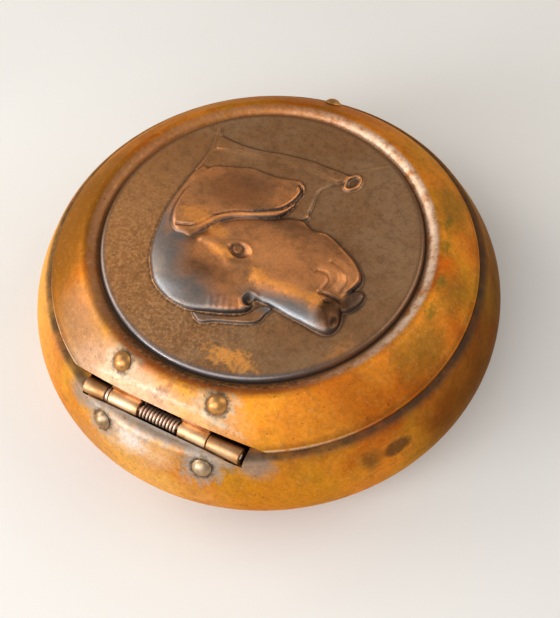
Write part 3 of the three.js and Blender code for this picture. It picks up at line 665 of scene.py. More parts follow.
def lid_finish():
    finish = Finish("lid_brass_patina_and_sheen")
    brown = brass_base(finish)
    radius, height = finish.radius(), finish.height()
    for row in (
        ((9, 35, 25.5), (19, 9, 6), 0.5, 0.6, 5, 0.9, (186, 150, 122)),
        ((19, 26.5, 26), (13, 9, 6), 0.7, 0.7, 4, 0.85, (158, 114, 82)),
        ((-9, 34, 26.5), (9, 6, 5), 0.7, 0.6, 4, 0.55, TAN),
    ):
        finish.patch(*row)
    stain = finish.blotches(0.46, 0.66, 4, 8, 0.72, shift=71)
    near_hinge = finish.spot((6, 33, 26), (26, 11, 7), 0.6)
    finish.lay(finish.times(stain, near_hinge), 0.6, (136, 104, 80))
    finish.patch((32, 10, 26), (14, 28, 8), 0.6, 0.5, 6, 0.92, (130, 78, 10))
    finish.patch((-22, 27, 26), (16, 12, 8), 0.8, 0.3, 6, 0.6, (244, 152, 46))
    for centre, reach in (((-33, 8, 26), (7, 9, 6)), ((-28, -20, 27), (6, 9, 6)), ((-34, -4, 25), (5, 7, 6))):
        finish.patch(centre, reach, 0.8, 0.9, 3, 0.6, OLIVE)
    for centre in ((-28.6, -16.5, 28), (-30.3, -11.1, 28), (-32.1, -3.8, 28), (-32.8, 1.8, 28)):
        finish.patch(centre, (1.1, 3.0, 3), 0.8, 2.4, 0.8, 0.6, (90, 98, 30))
    finish.patch((14, -34, 26), (34, 14, 8), 0.8, 0.4, 6, 0.85, (166, 80, 2))
    finish.patch((32, -16, 26), (13, 16, 8), 0.8, 0.4, 6, 0.5, (142, 70, 2))
    hinge_grime(finish, (176, 158, 130))
    finish.patch((0, 34.0, 25), (17, 0.8, 4), 0.6, 1.4, 0.8, 0.7, (204, 190, 170))
    groove = finish.band(radius, (28.0, 28.5), (28.85, 29.4))
    groove = finish.times(groove, finish.step(height, TRAY_HEIGHT - 0.2, TRAY_HEIGHT - 0.05))
    fall = finish.band(radius, (28.9, 29.5), (30.5, 31.3))
    patchy = finish.blotches(0.3, 0.56, 2.2, 7, 0.68, shift=52)
    finish.lay(fall, 0.75, (164, 104, 58))
    # pale cream on the crest's inner fall, strongest on the far side: pale crust, and there also a painted
    # highlight
    far_side = finish.spot((-26, -16, 29), (40, 46, 20), 0.6)
    pale = finish.times(finish.times(fall, patchy), finish.plus(0.1, finish.times(far_side, 0.85)))
    finish.cover(pale, (228, 198, 172))
    outside = finish.band(radius, (30.0, 30.5), (30.9, 31.7))
    near_side = finish.spot((-6, 32, 28), (30, 20, 10), 0.6)
    rust = finish.times(outside, finish.times(finish.plus(0.45, finish.times(patchy, 0.55)), near_side))
    finish.lay(rust, 0.9, (160, 80, 28))
    crust = finish.blotches(0.4, 0.6, 0.9, 5, 0.7, shift=83)
    crust = finish.times(finish.flip(finish.step(radius, 30.1, 30.7)), crust)
    crust = finish.times(crust, finish.step(radius, 28.6, 29.2))
    finish.lay(finish.times(crust, near_side), 0.8, (64, 48, 38))
    rim = finish.band(radius, (37.6, 38.4), (38.45, 38.6))
    finish.lay(rim, 0.35, BROWN)
    # a cream line along the rim's edge on the near side: pale crust, and also a painted highlight
    edge = finish.times(finish.step(radius, 38.5, 38.62), finish.blotches(0.35, 0.5, 2.0, 3, shift=60))
    edge = finish.times(edge, finish.spot((0, 40, 24), (44, 36, 10), 0.4))
    finish.lay(edge, 0.7, CREAM)
    fine_grain(finish)
    finish.cover(groove, GRIME)
    return aged(finish, brown, finish.times(groove, 0.9), 0.42)


def medallion_finish():
    finish = Finish("medallion_bronze_patina_shade_and_sheen")
    radius, height = finish.radius(), finish.height()
    finish.colour = finish.mix(finish.blotches(0.4, 0.62, 12, 6, 0.65), DARK_BRONZE, (168, 128, 92))
    finish.patch((28, 12, 29), (34, 40, 20), 0.8, 0.5, 5, 0.75, (196, 132, 76))
    raised = finish.step(height, DISC_HEIGHT + 0.3, DISC_HEIGHT + 1.3)
    warm = finish.blotches(0.35, 0.62, 6, 7, 0.65, shift=5)
    share = finish.times(raised, finish.plus(0.35, finish.times(warm, 0.5)))
    finish.cover(share, WARM_BRONZE)
    finish.lay(finish.blotches(0.44, 0.66, 1.6, 7, 0.7, shift=33), 0.35, (92, 66, 46))
    finish.patch((8, -6, 31), (9, 6, 4), 0.7, 0.3, 4, 0.7, (146, 92, 56))
    # warm copper spots on the cheek, the muzzle and beside the eye: worn copper, and painted highlights
    for centre, reach, strength in (
        ((-4.2, 4.6, 31), (7, 4.5, 4), 0.45),
        ((-10.5, 8.6, 31), (6, 2.6, 4), 0.6),
        ((5.6, 6.4, 31), (4.5, 3.4, 4), 0.55),
        ((-16.5, 3, 31), (4, 4, 4), 0.3),
    ):
        finish.patch(centre, reach, 0.9, 0.4, 2, strength, (250, 166, 100))
    # dark brown spots under the eye, near the ear's lower edge and along the jaw: painted shade
    for centre, reach, strength in (
        ((-4, -3.4, 31), (10, 3.4, 4), 0.65),
        ((4.8, 12, 31), (7, 3.2, 4), 0.7),
        ((-13.5, -2.6, 31), (5, 3.4, 4), 0.5),
        ((-16.5, 6.5, 31), (3.5, 3.5, 4), 0.4),
        ((6.7, -9.5, 31), (9, 4, 4), 0.5),
        ((9.5, 6.8, 31), (3, 3, 4), 0.4),
    ):
        finish.patch(centre, reach, 0.9, 0.6, 2, strength, (92, 66, 50))
    # dark grey on the relief's steep walls: patina, and painted shade
    steep = finish.step(finish.steepness(), 0.08, 0.3)
    finish.lay(steep, 0.9, DARK_STEEL_GREY)
    # dark brown on the far lip beside the nose: painted shade
    finish.lay(finish.spot((-20.7, 5.9, 29.6), (2.0, 3.0, 2.0), 0.4), 0.85, (76, 62, 54))
    # flecked blue-grey on the skull and the nose bridge: a cool patina, with a painted sky reflection
    lifted = finish.step(height, DISC_HEIGHT + 0.1, DISC_HEIGHT + 0.6)
    flecks = finish.blotches(0.36, 0.56, 2.6, 8, 0.75, shift=63)
    flecks = finish.plus(0.85, finish.times(flecks, 0.15))
    for centre, reach, strength in (
        ((8, 17.5, 30), (14, 6.5, 5), 0.95),
        ((18, 10, 30), (5.6, 12, 5), 0.95),
        ((13, 12, 30), (6.5, 7, 5), 0.95),
        ((-11.5, 12.6, 30), (11, 3.2, 5), 0.95),
        ((12.4, 7.6, 31), (2.6, 1.6, 3), 0.9),
    ):
        cool = finish.times(finish.spot(centre, reach, 0.7, 0.3, 3), lifted)
        finish.lay(finish.times(cool, flecks), strength, COOL_BRONZE)
    # pale grey cores along the nose bridge and the skull's lower edge: painted highlights
    for centre, reach in (
        ((-11.8, 12.9, 30), (8.5, 1.5, 5)),
        ((11, 17.4, 30), (8, 2, 5)),
        ((19, 13, 30), (2, 5, 5)),
    ):
        light = finish.times(finish.spot(centre, reach, 0.9, 0.3, 2), lifted)
        finish.lay(light, 0.6, (156, 162, 168))
    # dark brown over the nose's right side: painted shade
    finish.patch((-18.7, 9.9, 31), (3.7, 4.8, 3), 0.5, 0.3, 2, 0.9, (70, 44, 28))
    wear = finish.wear()
    finish.lay(finish.flip(finish.step(wear, 0.1, 0.42)), 0.55, (60, 50, 46))
    rubbed_side = finish.spot((-3, -8, 31), (26, 20, 6), 0.4)
    finish.lay(finish.times(finish.step(wear, 0.68, 1.0), rubbed_side), 0.7, (238, 156, 88))
    # bright copper on the muzzle ridge, by the eye and on the nose's upper left: worn copper, and painted
    # highlights
    for centre, reach, strength in (
        ((-4.4, 8.9, 31), (2.8, 2, 3), 0.95),
        ((3.6, 7.4, 31), (3.2, 1.5, 3), 0.9),
        ((6.3, 3.9, 31), (2.6, 2.2, 3), 0.8),
        ((11.5, 2.6, 31), (4.4, 2.6, 3), 0.75),
        ((-10, 9.2, 31), (7, 1.2, 3), 0.8),
        ((-14.9, 9.1, 31), (1.9, 1.8, 3), 0.95),
        ((-23, 17, 29), (3, 6, 3), 0.3),
    ):
        finish.patch(centre, reach, 0.7, 1.8, 0.9, strength, COPPER_WEAR_AND_HIGHLIGHT)
    patch = finish.spot((-7.0, 24.0, 29), (5.4, 2.5, 3), 0.7, 2.6, 1.2)
    patch = finish.times(patch, finish.blotches(0.32, 0.5, 0.7, 6, 0.75, shift=91))
    finish.lay(patch, 0.95, (255, 172, 84))
    sandy = finish.blotches(0.46, 0.6, 0.6, 5, 0.75, shift=17)
    sandy = finish.times(sandy, finish.spot((16, 18, 29), (36, 28, 8), 0.7))
    scuffs = finish.step(finish.noise(0.5, 4, 0.6, stretch=(1.6, 0.5, 1), shift=101), 0.6, 0.68)
    scuffs = finish.times(scuffs, finish.spot((-15, -9, 29), (13, 15, 3), 0.8, 0.6, 3))
    scuffs = finish.times(scuffs, finish.flip(lifted))
    finish.lay(scuffs, 0.5, (196, 172, 148))
    foot = finish.step(height, DISC_HEIGHT + 0.02, DISC_HEIGHT + 0.1)
    sandy = finish.times(sandy, finish.flip(finish.most(foot, steep)))
    finish.lay(sandy, 0.5, (238, 176, 116))
    finish.lay(finish.spot((1.6, 5.6, 31), (1.6, 1.45, 3), 0.35), 0.7, (60, 46, 38))
    finish.lay(finish.spot((1.6, 5.6, 31), (0.95, 0.9, 3), 0.3), 0.8, (150, 100, 66))
    low = finish.flip(finish.step(height, DISC_HEIGHT - 0.25, DISC_HEIGHT + 0.01))
    edge = finish.step(radius, 27.4, 28.2)
    rolled = finish.most(low, edge)
    # the rolled edge darker: brown patina, turning grey on the near side as a painted sky reflection
    near_side = finish.spot((6, 24, 28), (34, 24, 10), 0.5)
    rim = finish.mix(near_side, (120, 90, 68), (112, 110, 112))
    finish.lay(rolled, 0.85, rim)
    finish.lay(finish.blotches(0.42, 0.7, 0.5, 6, 0.75, shift=27), 0.25, (60, 46, 36))
    finish.lay(finish.blotches(0.52, 0.72, 0.7, 6, 0.7, shift=47), 0.16, (204, 146, 90))
    roughness = finish.plus(0.26, finish.times(finish.noise(4, 7, 0.65, shift=44), 0.28))
    roughness = finish.less(roughness, finish.times(rolled, 0.06))
    bumps = [(finish.noise(3, 4, shift=4), 0.05), (finish.noise(0.4, 5, 0.65), 0.008)]
    return finish.done(0.8, roughness, bumps)


def small_metal_finish(name, colour_a, colour_b, size, roughness):
    finish = Finish(name)
    finish.colour = finish.mix(finish.blotches(0.35, 0.65, size, 5, 0.6), colour_a, colour_b)
    finish.lay(finish.blotches(0.58, 0.7, size * 0.4, 5, 0.65, shift=9), 0.5, BROWN)
    rough = finish.plus(roughness, finish.times(finish.noise(1.0, 5, shift=14), 0.2))
    bumps = [(finish.noise(1.2, 3, shift=2), 0.03), (finish.noise(0.25, 3, 0.6), 0.008)]
    return finish.done(0.9, rough, bumps)


# Pieces

RIVET_PLACES = [
    (sign * x, radius, path)
    for x, radius, path in (
        (LID_RIVET_X, LID_RIVET_RADIUS, lid_path()),
        (BODY_RIVET_X, BODY_RIVET_RADIUS, shoulder_path()),
    )
    for sign in (1, -1)
]


def body_shell(material):
    outer = body_path()
    inner = offset_path(outer, SHEET)[::-1]
    inner[-1] = (0.0, SHEET)
    piece = make_piece("bowl", *turned(outer + inner), material, "body", ("body_shell",), "body_brass")
    ends = LAST_KNUCKLE[1] - SLOT_END_GAP, FIRST_KNUCKLE[0] + BARREL_GAP
    low = (ends[0], MOUTH_RADIUS - SLOT_REACH, LEDGE_HEIGHT - SLOT_REACH)
    cut(piece, block(low, (ends[1], MOUTH_RADIUS + LIP_BEND, SLOT_TOP)))
    wall = BARREL_RADIUS + BARREL_GAP
    cut(piece, along_hinge([(0.0, ends[0]), (wall, ends[0]), (wall, ends[1]), (0.0, ends[1])], 96))


def lid_shell(material):
    top = lid_path()
    under = offset_path(top, -SHEET)
    under[0] = (0.0, TRAY_HEIGHT - SHEET)
    (r0, z0), (r1, z1) = under[-2:]
    under[-1] = (r1 + (r1 - r0) * (SEAT_HEIGHT - z1) / (z1 - z0), SEAT_HEIGHT)
    soften = arc((LID_RADIUS - RIM_ROUND, SEAT_HEIGHT + RIM_HEIGHT - RIM_ROUND), RIM_ROUND, 90, 40, 3)
    profile = under + [(LID_RADIUS, SEAT_HEIGHT)] + soften + top[-2::-1]
    piece = make_piece("lid_ring", *turned(profile), material, "lid", ("lid_shell",), "lid_brass")
    near, half, depth = -BARREL_RADIUS - HINGE_CUT_GAP, HINGE_CUT_HALF, HINGE_CUT_DEPTH
    verts, faces = block((-half, near, -depth), (half, near + depth, depth))
    lean = Matrix.Rotation(-math.radians(HINGE_CUT_LEAN), 4, "X")
    cut(piece, (moved(verts, Matrix.Translation((0, HINGE_Y, HINGE_Z)) @ lean), faces))


# Relief of the hound's head: outlines and strokes in hundredths of the disc's radius, +y towards the hinge
HEAD = [
    (-29.5, -15), (-34.5, -16), (-37.5, -16), (-43.5, -14), (-49.5, -11), (-55.5, -8), (-61, -5), (-66, -1),
    (-69, 2), (-71, 6.5), (-70.5, 11), (-69, 15.5), (-67, 20.5), (-68, 25), (-69, 30), (-71, 35.5),
    (-71.3, 41),
    (-69.3, 45.8), (-65, 48.3), (-58, 48), (-51.5, 47), (-44, 46.5), (-37, 45.5), (-30, 44.5), (-24, 44.5),
    (-20, 44.5), (-20, 46.5), (-20.5, 50), (-19, 53.5), (-16.5, 55.5), (-13, 57.5), (-6.5, 60.5), (2.5, 63.5),
    (11.5, 66.5), (18, 67), (26.5, 66), (36, 62.5), (43, 58), (49, 51), (54, 43.5), (58, 34), (61, 22.5),
    (63.5, 9.5), (64, -1.5), (63.5, -12), (62.5, -24), (58, -32), (50, -28), (39, -12), (13, -17),
    (-1, -16.5), (-9, -17.5), (-15.5, -18.5), (-21, -18.5), (-26, -16),
]
EAR = [
    (41, 26), (46, 25.5), (51, 22), (54.5, 17.5), (57.5, 10), (59, 0), (59, -10), (58, -20), (55.5, -29),
    (52, -34), (45.5, -37), (37, -40), (28.5, -43), (21, -43), (14, -43), (6, -44), (-1.5, -46), (-6, -46),
    (-10, -42.5), (-12, -37), (-11.5, -29.5), (-10, -21.5), (-6.5, -14.5), (-2, -10), (6.5, -5), (17.5, 1),
    (24, 7), (29, 15.5), (33, 23), (36.5, 26),
]
EAR_CREASE = [
    (-5.5, -42), (-9, -38.5), (-9.5, -33), (-8, -26), (-4.5, -19), (1.5, -14.5), (9, -10), (18, -6), (25, -1),
    (29.5, 3.5), (32.5, 8.5), (35.5, 13.5), (38, 16), (42.5, 18), (47.5, 19.5),
]
EAR_FOOT = EAR[19:29]
NECK = [
    (66, -67), (63.5, -58), (62, -48), (62, -38), (63, -25.5), (63, -12), (55, 3), (30.5, 3.5), (-4.5, -9.5),
    (-21, -20.5), (-20.5, -27.5), (-19.5, -35.5), (-18.5, -43.5), (-20.5, -48), (-25, -53.5), (-31, -58.5),
    (-32.5, -63.5), (-25, -65.5), (-13.5, -65.5), (-5, -66), (6, -65), (17, -63.5), (27.5, -61), (38.5, -59.5),
    (50.5, -59.5), (60, -61),
]
NECK_LINE = [(70, -84), (68.5, -75), (66, -66.5), (63.3, -57), (61.6, -47), (61.4, -37), (61.8, -27)]
COLLAR_TOP = [
    (61, -59.5), (50.5, -58.5), (38.5, -58.5), (27.5, -60), (17, -62.5), (6, -64), (-5, -65), (-13.5, -64.5),
    (-25, -64.5), (-31, -63),
]
COLLAR_FOOT = [
    (58.5, -47.5), (46.5, -51), (32, -52.5), (23, -54), (11, -56), (-0.5, -57), (-10.5, -57), (-18, -56),
    (-26, -55.5),
]
RING = [
    (-37, -65), (-38.5, -61.5), (-38, -57), (-35, -53.5), (-32, -53.5), (-30.5, -57), (-31, -61.5), (-34, -65),
]
LEAD = [(-32.5, -70), (-37.5, -73.5), (-46, -80), (-52.5, -84.5)]
FAR_BROW = [
    (10.5, 68), (6, 71), (1.5, 71.5), (-5.5, 67.5), (-16.5, 63.5), (-25.5, 59.5), (-29, 56), (-30, 51),
    (-31.5, 46),
    (-28.5, 44.5), (-24.5, 46.5), (-22, 49.5), (-19.5, 54), (-14, 58.5), (1.5, 64.5), (11, 66.5),
]
FAR_LIP = [
    (-60, 22), (-66, 16.5), (-70.5, 13), (-74.3, 12.5), (-76.6, 15), (-76.8, 20), (-74.5, 25.5), (-71, 30),
    (-64, 31),
]
NOSE_TOP = [(-53.1, 26), (-57.7, 25.3), (-62.8, 24.8), (-67.6, 25.3)]
MOUTH_CORNER = [(-34, -13.5), (-38.5, -14.5), (-44.5, -13), (-50, -10)]
LIP_EDGE = [
    (-50, -8.5), (-55.5, -5.7), (-60, -2.8), (-64.3, 0.8), (-66.8, 4), (-68.4, 8), (-67.8, 12.5), (-66, 17),
]
BROW = [(28, 21.5), (19.5, 22), (12, 24.5), (4.5, 29), (-2.5, 27.5)]
RIDGE = [(-17, 31.5), (-26, 31), (-39.5, 32), (-47.5, 33)]
STOP = [(-12, 46), (-9, 39), (-7, 32)]
FOREHEAD_FOLDS = [
    [(3.5, 56), (2, 60.5), (0.5, 64.5)],
    [(0.5, 54.5), (-1, 59), (-2.5, 63)],
    [(-3, 52.5), (-4.5, 57), (-6, 61.5)],
    [(-6.5, 51), (-8, 55.5), (-9.5, 59.5)],
    [(-9.5, 49.5), (-11.5, 54), (-12.5, 58)],
]
LIP_CREASES = [
    [(-44.6, 13.7), (-50.5, 13.5), (-53.8, 17.1), (-53.2, 22.5)],
    [(-50, 4.6), (-58.2, 6), (-62.9, 11.5), (-62.3, 19.4)],
]
LIP_FOLDS = [
    [(-46.2, 9), (-53.4, 9.5), (-57.7, 14), (-56.4, 20.3)],
    [(-51.1, 0.1), (-60.7, 2.2), (-66.4, 8.6), (-66.8, 19.8)],
]


def spline(points, closed, steps=8):
    """A Catmull-Rom curve through the points."""
    p = np.array(points, dtype=float)
    if closed:
        p = np.vstack([p[-1:], p, p[:2]])
    else:
        p = np.vstack([2 * p[0] - p[1], p, 2 * p[-1] - p[-2]])
    curve = []
    for a, b, c, d in zip(p, p[1:], p[2:], p[3:]):
        for t in np.linspace(0, 1, steps, endpoint=False):
            bend = (2 * a - 5 * b + 4 * c - d) * t ** 2 + (3 * b - a - 3 * c + d) * t ** 3
            curve.append(0.5 * (2 * b + (c - a) * t + bend))
    if not closed:
        curve.append(p[-2])
    return np.array(curve)


def away_from(places, points, closed):
    """Distance of each place from the curve through points, and whether it lies inside a closed one."""
    curve = spline(points, closed)
    ends = np.roll(curve, -1, axis=0) if closed else curve[1:]
    starts = curve if closed else curve[:-1]
    nearest = np.full(len(places), np.inf)
    inside = np.zeros(len(places), dtype=bool)
    x, y = places[:, 0], places[:, 1]
    for a, b in zip(starts, ends):
        run = b - a
        share = np.clip(((x - a[0]) * run[0] + (y - a[1]) * run[1]) / max(run @ run, 1e-9), 0, 1)
        nearest = np.minimum(nearest, np.hypot(x - a[0] - share * run[0], y - a[1] - share * run[1]))
        if closed and a[1] != b[1]:
            crosses = (a[1] > y) != (b[1] > y)
            inside ^= crosses & (x < a[0] + run[0] * (y - a[1]) / run[1])
    return nearest, inside


def pillow(places, outline, width):
    """A swelling inside an outline that rises in a quarter round over a width."""
    nearest, inside = away_from(places, outline, True)
    share = np.clip(nearest / width, 0, 1)
    foot = np.clip(nearest / 1.3, 0, 1)
    return np.where(inside, np.sqrt(1 - (1 - share) ** 2) * foot * foot * (3 - 2 * foot), 0.0)


def bank(places, outline, width):
    """A swelling like pillow, with a gentler edge."""
    nearest, inside = away_from(places, outline, True)
    share = np.clip(nearest / width, 0, 1)
    return np.where(inside, 1 - (1 - share) ** 2, 0.0)


def bell(distance, width):
    return np.exp(-((distance / width) ** 2))


def stroke(places, points, width):
    """A soft line: 1 on the curve, 0 beyond about twice its width."""
    nearest, _ = away_from(places, points, False)
    return bell(nearest, width)


def mound(places, centre, reach, turn=0.0):
    """A soft round hill."""
    angle = math.radians(turn)
    dx, dy = places[:, 0] - centre[0], places[:, 1] - centre[1]
    u = (dx * math.cos(angle) + dy * math.sin(angle)) / reach[0]
    v = (dy * math.cos(angle) - dx * math.sin(angle)) / reach[1]
    return np.exp(-1.6 * (u * u + v * v))


def ring_of(places, centre, reach, width):
    dx, dy = (places[:, 0] - centre[0]) / reach[0], (places[:, 1] - centre[1]) / reach[1]
    away = (np.hypot(dx, dy) - 1) * math.sqrt(reach[0] * reach[1])
    return bell(away, width)


def relief(places):
    """Height of the relief above the field, in millimetres, at places in hundredths of the disc's radius."""
    y = places[:, 1]
    wall = pillow(places, HEAD, 3.4)
    head = RELIEF_HEIGHT * (0.22 * wall + 0.27 * pillow(places, HEAD, 13) + 0.42 * bank(places, HEAD, 28))
    ear_side, _ = away_from(places, EAR_FOOT, False)
    carved = (
        0.3 * mound(places, (34, 40), (24, 20))
        + 0.3 * stroke(places, RIDGE, 5.5)
        + 0.12 * mound(places, (-14, 4), (24, 14))
        + 0.3 * mound(places, (-47, 6), (15, 14))
        - 0.74 * mound(places, (2, 24), (12, 9))
        - 0.25 * mound(places, (14, 38), (13, 7), 20)
        + 0.5 * stroke(places, BROW, 3.6)
        - 0.16 * stroke(places, STOP, 6.0)
        - 0.14 * mound(places, (-32, 16), (15, 5), 4)
        - 0.36 * bell(ear_side, 4.0)
        + 0.2 * stroke(places, LIP_EDGE, 1.4)
        + 0.12 * stroke(places, MOUTH_CORNER, 1.0)
        + sum(0.11 * stroke(places, fold, 1.7) for fold in FOREHEAD_FOLDS)
        - sum(0.2 * stroke(places, fold, 1.6) for fold in LIP_CREASES)
        + sum(0.08 * stroke(places, fold, 1.6) for fold in LIP_FOLDS)
        + 0.3 * ring_of(places, (-17, 47), (4.4, 5.0), 1.5)
        - 0.9 * mound(places, (-17, 47), (3.6, 3.9))
        + 0.26 * ring_of(places, (3.8, 20), (8.3, 5.3), 1.8)
        - 0.34 * mound(places, (5.2, 19.7), (5.2, 4.4))
        + 0.6 * np.clip(1.3 * mound(places, (5.5, 19.5), (3.2, 3.0)), 0, 0.85)
        + 0.6 * mound(places, (-61.5, 36.5), (12.5, 9.5), 133)
        - 0.42 * stroke(places, NOSE_TOP, 1.5)
        - 0.5 * mound(places, (-58.8, 29.6), (2.9, 2.4))
        - 0.45 * mound(places, (-68.4, 40), (2.3, 4.0))
    )
    head += carved * wall
    slope = np.clip((y + 46) / 62, 0, 1)
    flap = 0.95 + 1.3 * slope * slope * (3 - 2 * slope)
    crease, _ = away_from(places, EAR_CREASE, False)
    ear_edge = pillow(places, EAR, 1.6)
    ear = flap * (0.68 * pillow(places, EAR, 5.2) + 0.32 * ear_edge)
    front = ear_side < 7
    ear += ear_edge * (0.12 * mound(places, (43, 10), (9, 10)) - 0.14 * mound(places, (28, -20), (20, 13)))
    ear += ear_edge * (0.2 * front * bell(crease - 2.0, 1.4) - 0.38 * bell(crease, 0.9))
    low_neck = np.clip((y + 66) / 50, 0, 1)
    neck = (0.3 + 0.4 * low_neck) * (0.5 * pillow(places, NECK, 3.0) + 0.5 * bank(places, NECK, 10))
    neck += 0.2 * pillow(places, COLLAR_TOP + COLLAR_FOOT[::-1], 3.0)
    neck += 0.14 * stroke(places, COLLAR_FOOT, 1.5) + 0.3 * stroke(places, NECK_LINE, 1.1)
    neck -= 0.14 * stroke(places, COLLAR_TOP, 0.9)
    behind = 0.55 * pillow(places, FAR_BROW, 2.2)
    lip = 0.85 * pillow(places, FAR_LIP, 5.0)
    height = np.maximum.reduce([head, ear, neck, behind, lip])
    loop, _ = away_from(places, RING, True)
    height += 0.46 * bell(loop, 1.35) + 0.13 * stroke(places, LEAD, 0.8)
    soft = RELIEF_SOFT_TOP + RELIEF_SOFTENING * np.tanh((height - RELIEF_SOFT_TOP) / RELIEF_SOFTENING)
    return np.clip(np.where(height > RELIEF_SOFT_TOP, soft, height), -0.15, RELIEF_LIMIT)


def blurred(heights, width):
    """Heights on a square grid, averaged over a round neighbourhood that is width cells wide."""
    reach = int(3 * width)
    weights = np.exp(-0.5 * (np.arange(-reach, reach + 1) / width) ** 2)
    weights /= weights.sum()
    rows = np.apply_along_axis(lambda row: np.convolve(row, weights, "same"), 1, heights)
    return np.apply_along_axis(lambda column: np.convolve(column, weights, "same"), 0, rows)


def rubbed(places, cells=260):
    """How far each place stands out: above a half where hands rub it, below where dirt lies."""
    line = np.linspace(-100, 100, cells)
    across, along = np.meshgrid(line, line)
    heights = relief(np.stack([across.ravel(), along.ravel()], axis=1)).reshape(cells, cells)
    cell = 2 * DISC_RADIUS / cells
    fine = heights - blurred(heights, 0.5 / cell)
    value = 0.5 + 0.5 * np.clip(fine / 0.16, -1, 1)
    spots = (places + 100) * (cells - 1) / 200
    low = np.clip(np.floor(spots).astype(int), 0, cells - 2)
    u, v = (spots - low).T
    i, j = low.T
    near = value[j, i] * (1 - u) + value[j, i + 1] * u
    far = value[j + 1, i] * (1 - u) + value[j + 1, i + 1] * u
    return near * (1 - v) + far * v


def disc_grid(rings, sectors=DISC_SECTORS):
    """Ring number and angle of each point of a disc mesh, and its triangles."""
    ring_of_point, angles = [0], [0.0]
    for ring in range(1, rings + 1):
        count = sectors * ring
        ring_of_point += [ring] * count
        angles += [2 * math.pi * i / count for i in range(count)]

    def place(ring, i):
        return 0 if ring == 0 else 1 + sectors * ring * (ring - 1) // 2 + i % (sectors * ring)

    faces = []
    for ring in range(1, rings + 1):
        for sector in range(sectors):
            for j in range(ring):
                outer, inner = sector * ring + j, sector * (ring - 1) + j
                faces.append((place(ring, outer), place(ring, outer + 1), place(ring - 1, inner)))
                if j < ring - 1:
                    faces.append((place(ring, outer + 1), place(ring - 1, inner + 1), place(ring - 1, inner)))
    return np.array(ring_of_point), np.array(angles), faces


def medallion(material):
    """The stamped disc: its relief on top, a softer hollow under it and a rolled edge down to the tray."""
    flat = DISC_RADIUS - DISC_ROLL
    rings, angles, faces = disc_grid(DISC_RINGS)
    flat_rings = DISC_RINGS - ROLL_RINGS
    roll = np.clip(rings - flat_rings, 0, ROLL_RINGS) * (math.pi / 2 / ROLL_RINGS)
    radii = np.where(rings <= flat_rings, flat * rings / flat_rings, flat + DISC_ROLL * np.sin(roll))
    x, y = radii * np.cos(angles), radii * np.sin(angles)
    places = np.stack([x, y], axis=1) * 100 / DISC_RADIUS
    lift = relief(places) * np.clip(flat - radii, 0, 1)
    z = DISC_HEIGHT - DISC_ROLL * (1 - np.cos(roll)) + lift
    top = list(zip(x, y, z))
    under_rings = DISC_RINGS // 2
    rings2, angles2, faces2 = disc_grid(under_rings)
    radii2 = (flat - 0.1) * rings2 / under_rings
    x2, y2 = radii2 * np.cos(angles2), radii2 * np.sin(angles2)
    places2 = np.stack([x2, y2], axis=1) * 100 / DISC_RADIUS
    inward = places2 / 0.93
    hollow = 0.5 * RELIEF_HEIGHT * np.maximum(pillow(inward, HEAD, 22), 0.8 * pillow(inward, EAR, 18))
    under = list(zip(x2, y2, DISC_HEIGHT - DISC_SHEET + hollow))
    foot = TRAY_HEIGHT + 0.1
    verts = top + under
    faces = list(faces) + [tuple(len(top) + i for i in reversed(f)) for f in faces2]
    edge = DISC_SECTORS * DISC_RINGS
    top_edge, under_edge = len(top) - edge, len(verts) - edge // 2
    outer_first = len(verts)
    for i in range(edge):
        a = 2 * math.pi * i / edge
        verts.append((DISC_RADIUS * math.cos(a), DISC_RADIUS * math.sin(a), foot))
    inner_first = len(verts)
    for i in range(edge // 2):
        a = 4 * math.pi * i / edge
        verts.append(((DISC_RADIUS - DISC_SHEET) * math.cos(a), (DISC_RADIUS - DISC_SHEET) * math.sin(a), foot))
    for i in range(edge):
        j = (i + 1) % edge
        faces.append((top_edge + i, outer_first + i, outer_first + j, top_edge + j))
    for i in range(edge // 2):
        j = (i + 1) % (edge // 2)
        a, b, c = (outer_first + k % edge for k in (2 * i, 2 * i + 1, 2 * i + 2))
        faces.append((a, inner_first + i, b))
        faces.append((b, inner_first + i, inner_first + j, c))
        faces.append((inner_first + i, under_edge + i, under_edge + j, inner_first + j))
    wear = np.full(len(verts), 0.5)
    wear[:len(top)] = rubbed(places)
    node, slot = "medallion", "medallion_bronze"
    make_piece("hound_medallion", verts, faces, material, "lid", (node,), slot, 60, wear)


def plate_widths(distances, full, corner):
    """Half widths of a plate at distances from an end that has round corners."""
    widths = []
    for away in distances:
        inset = corner - math.sqrt(max(corner ** 2 - max(corner - away, 0) ** 2, 0))
        widths.append(full - inset)
    return widths


def body_leaf(material):
    full = shoulder_path()
    path = [p for p in offset_path(full, LEAF_OFFSET) if p[1] > LEDGE_HEIGHT - BODY_LEAF_DROP]
    lowest = path[0][1]
    path += [(BODY_LEAF_INNER, path[-1][1])]
    middle = (FIRST_KNUCKLE[0] + LAST_KNUCKLE[1]) / 2
    half = (FIRST_KNUCKLE[0] - LAST_KNUCKLE[1]) / 2
    widths = plate_widths([z - lowest for _, z in path], half, LEAF_CORNER)
    plate = curved_plate(path, widths, LEAF_THICKNESS, centre_x=middle)
    top, bottom = HINGE_Z - BARREL_RADIUS + LEAF_THICKNESS, HINGE_Z - BARREL_RADIUS
    tabs = []
    for high, low in (FIRST_KNUCKLE, LAST_KNUCKLE):
        inner = min(abs(high), abs(low))
        left, right = sorted(math.copysign(x, high + low) for x in (inner, inner + TAB_WIDTH))
        tabs.append(block((left, HINGE_Y, bottom), (right, TAB_REACH, top)))
    shape = joined(plate, *tabs, knuckle(FIRST_KNUCKLE), knuckle(LAST_KNUCKLE))
    make_piece("outer_knuckles_and_leaf", *shape, material, "body", ("body_hinge_leaf",), "hinge_brass")


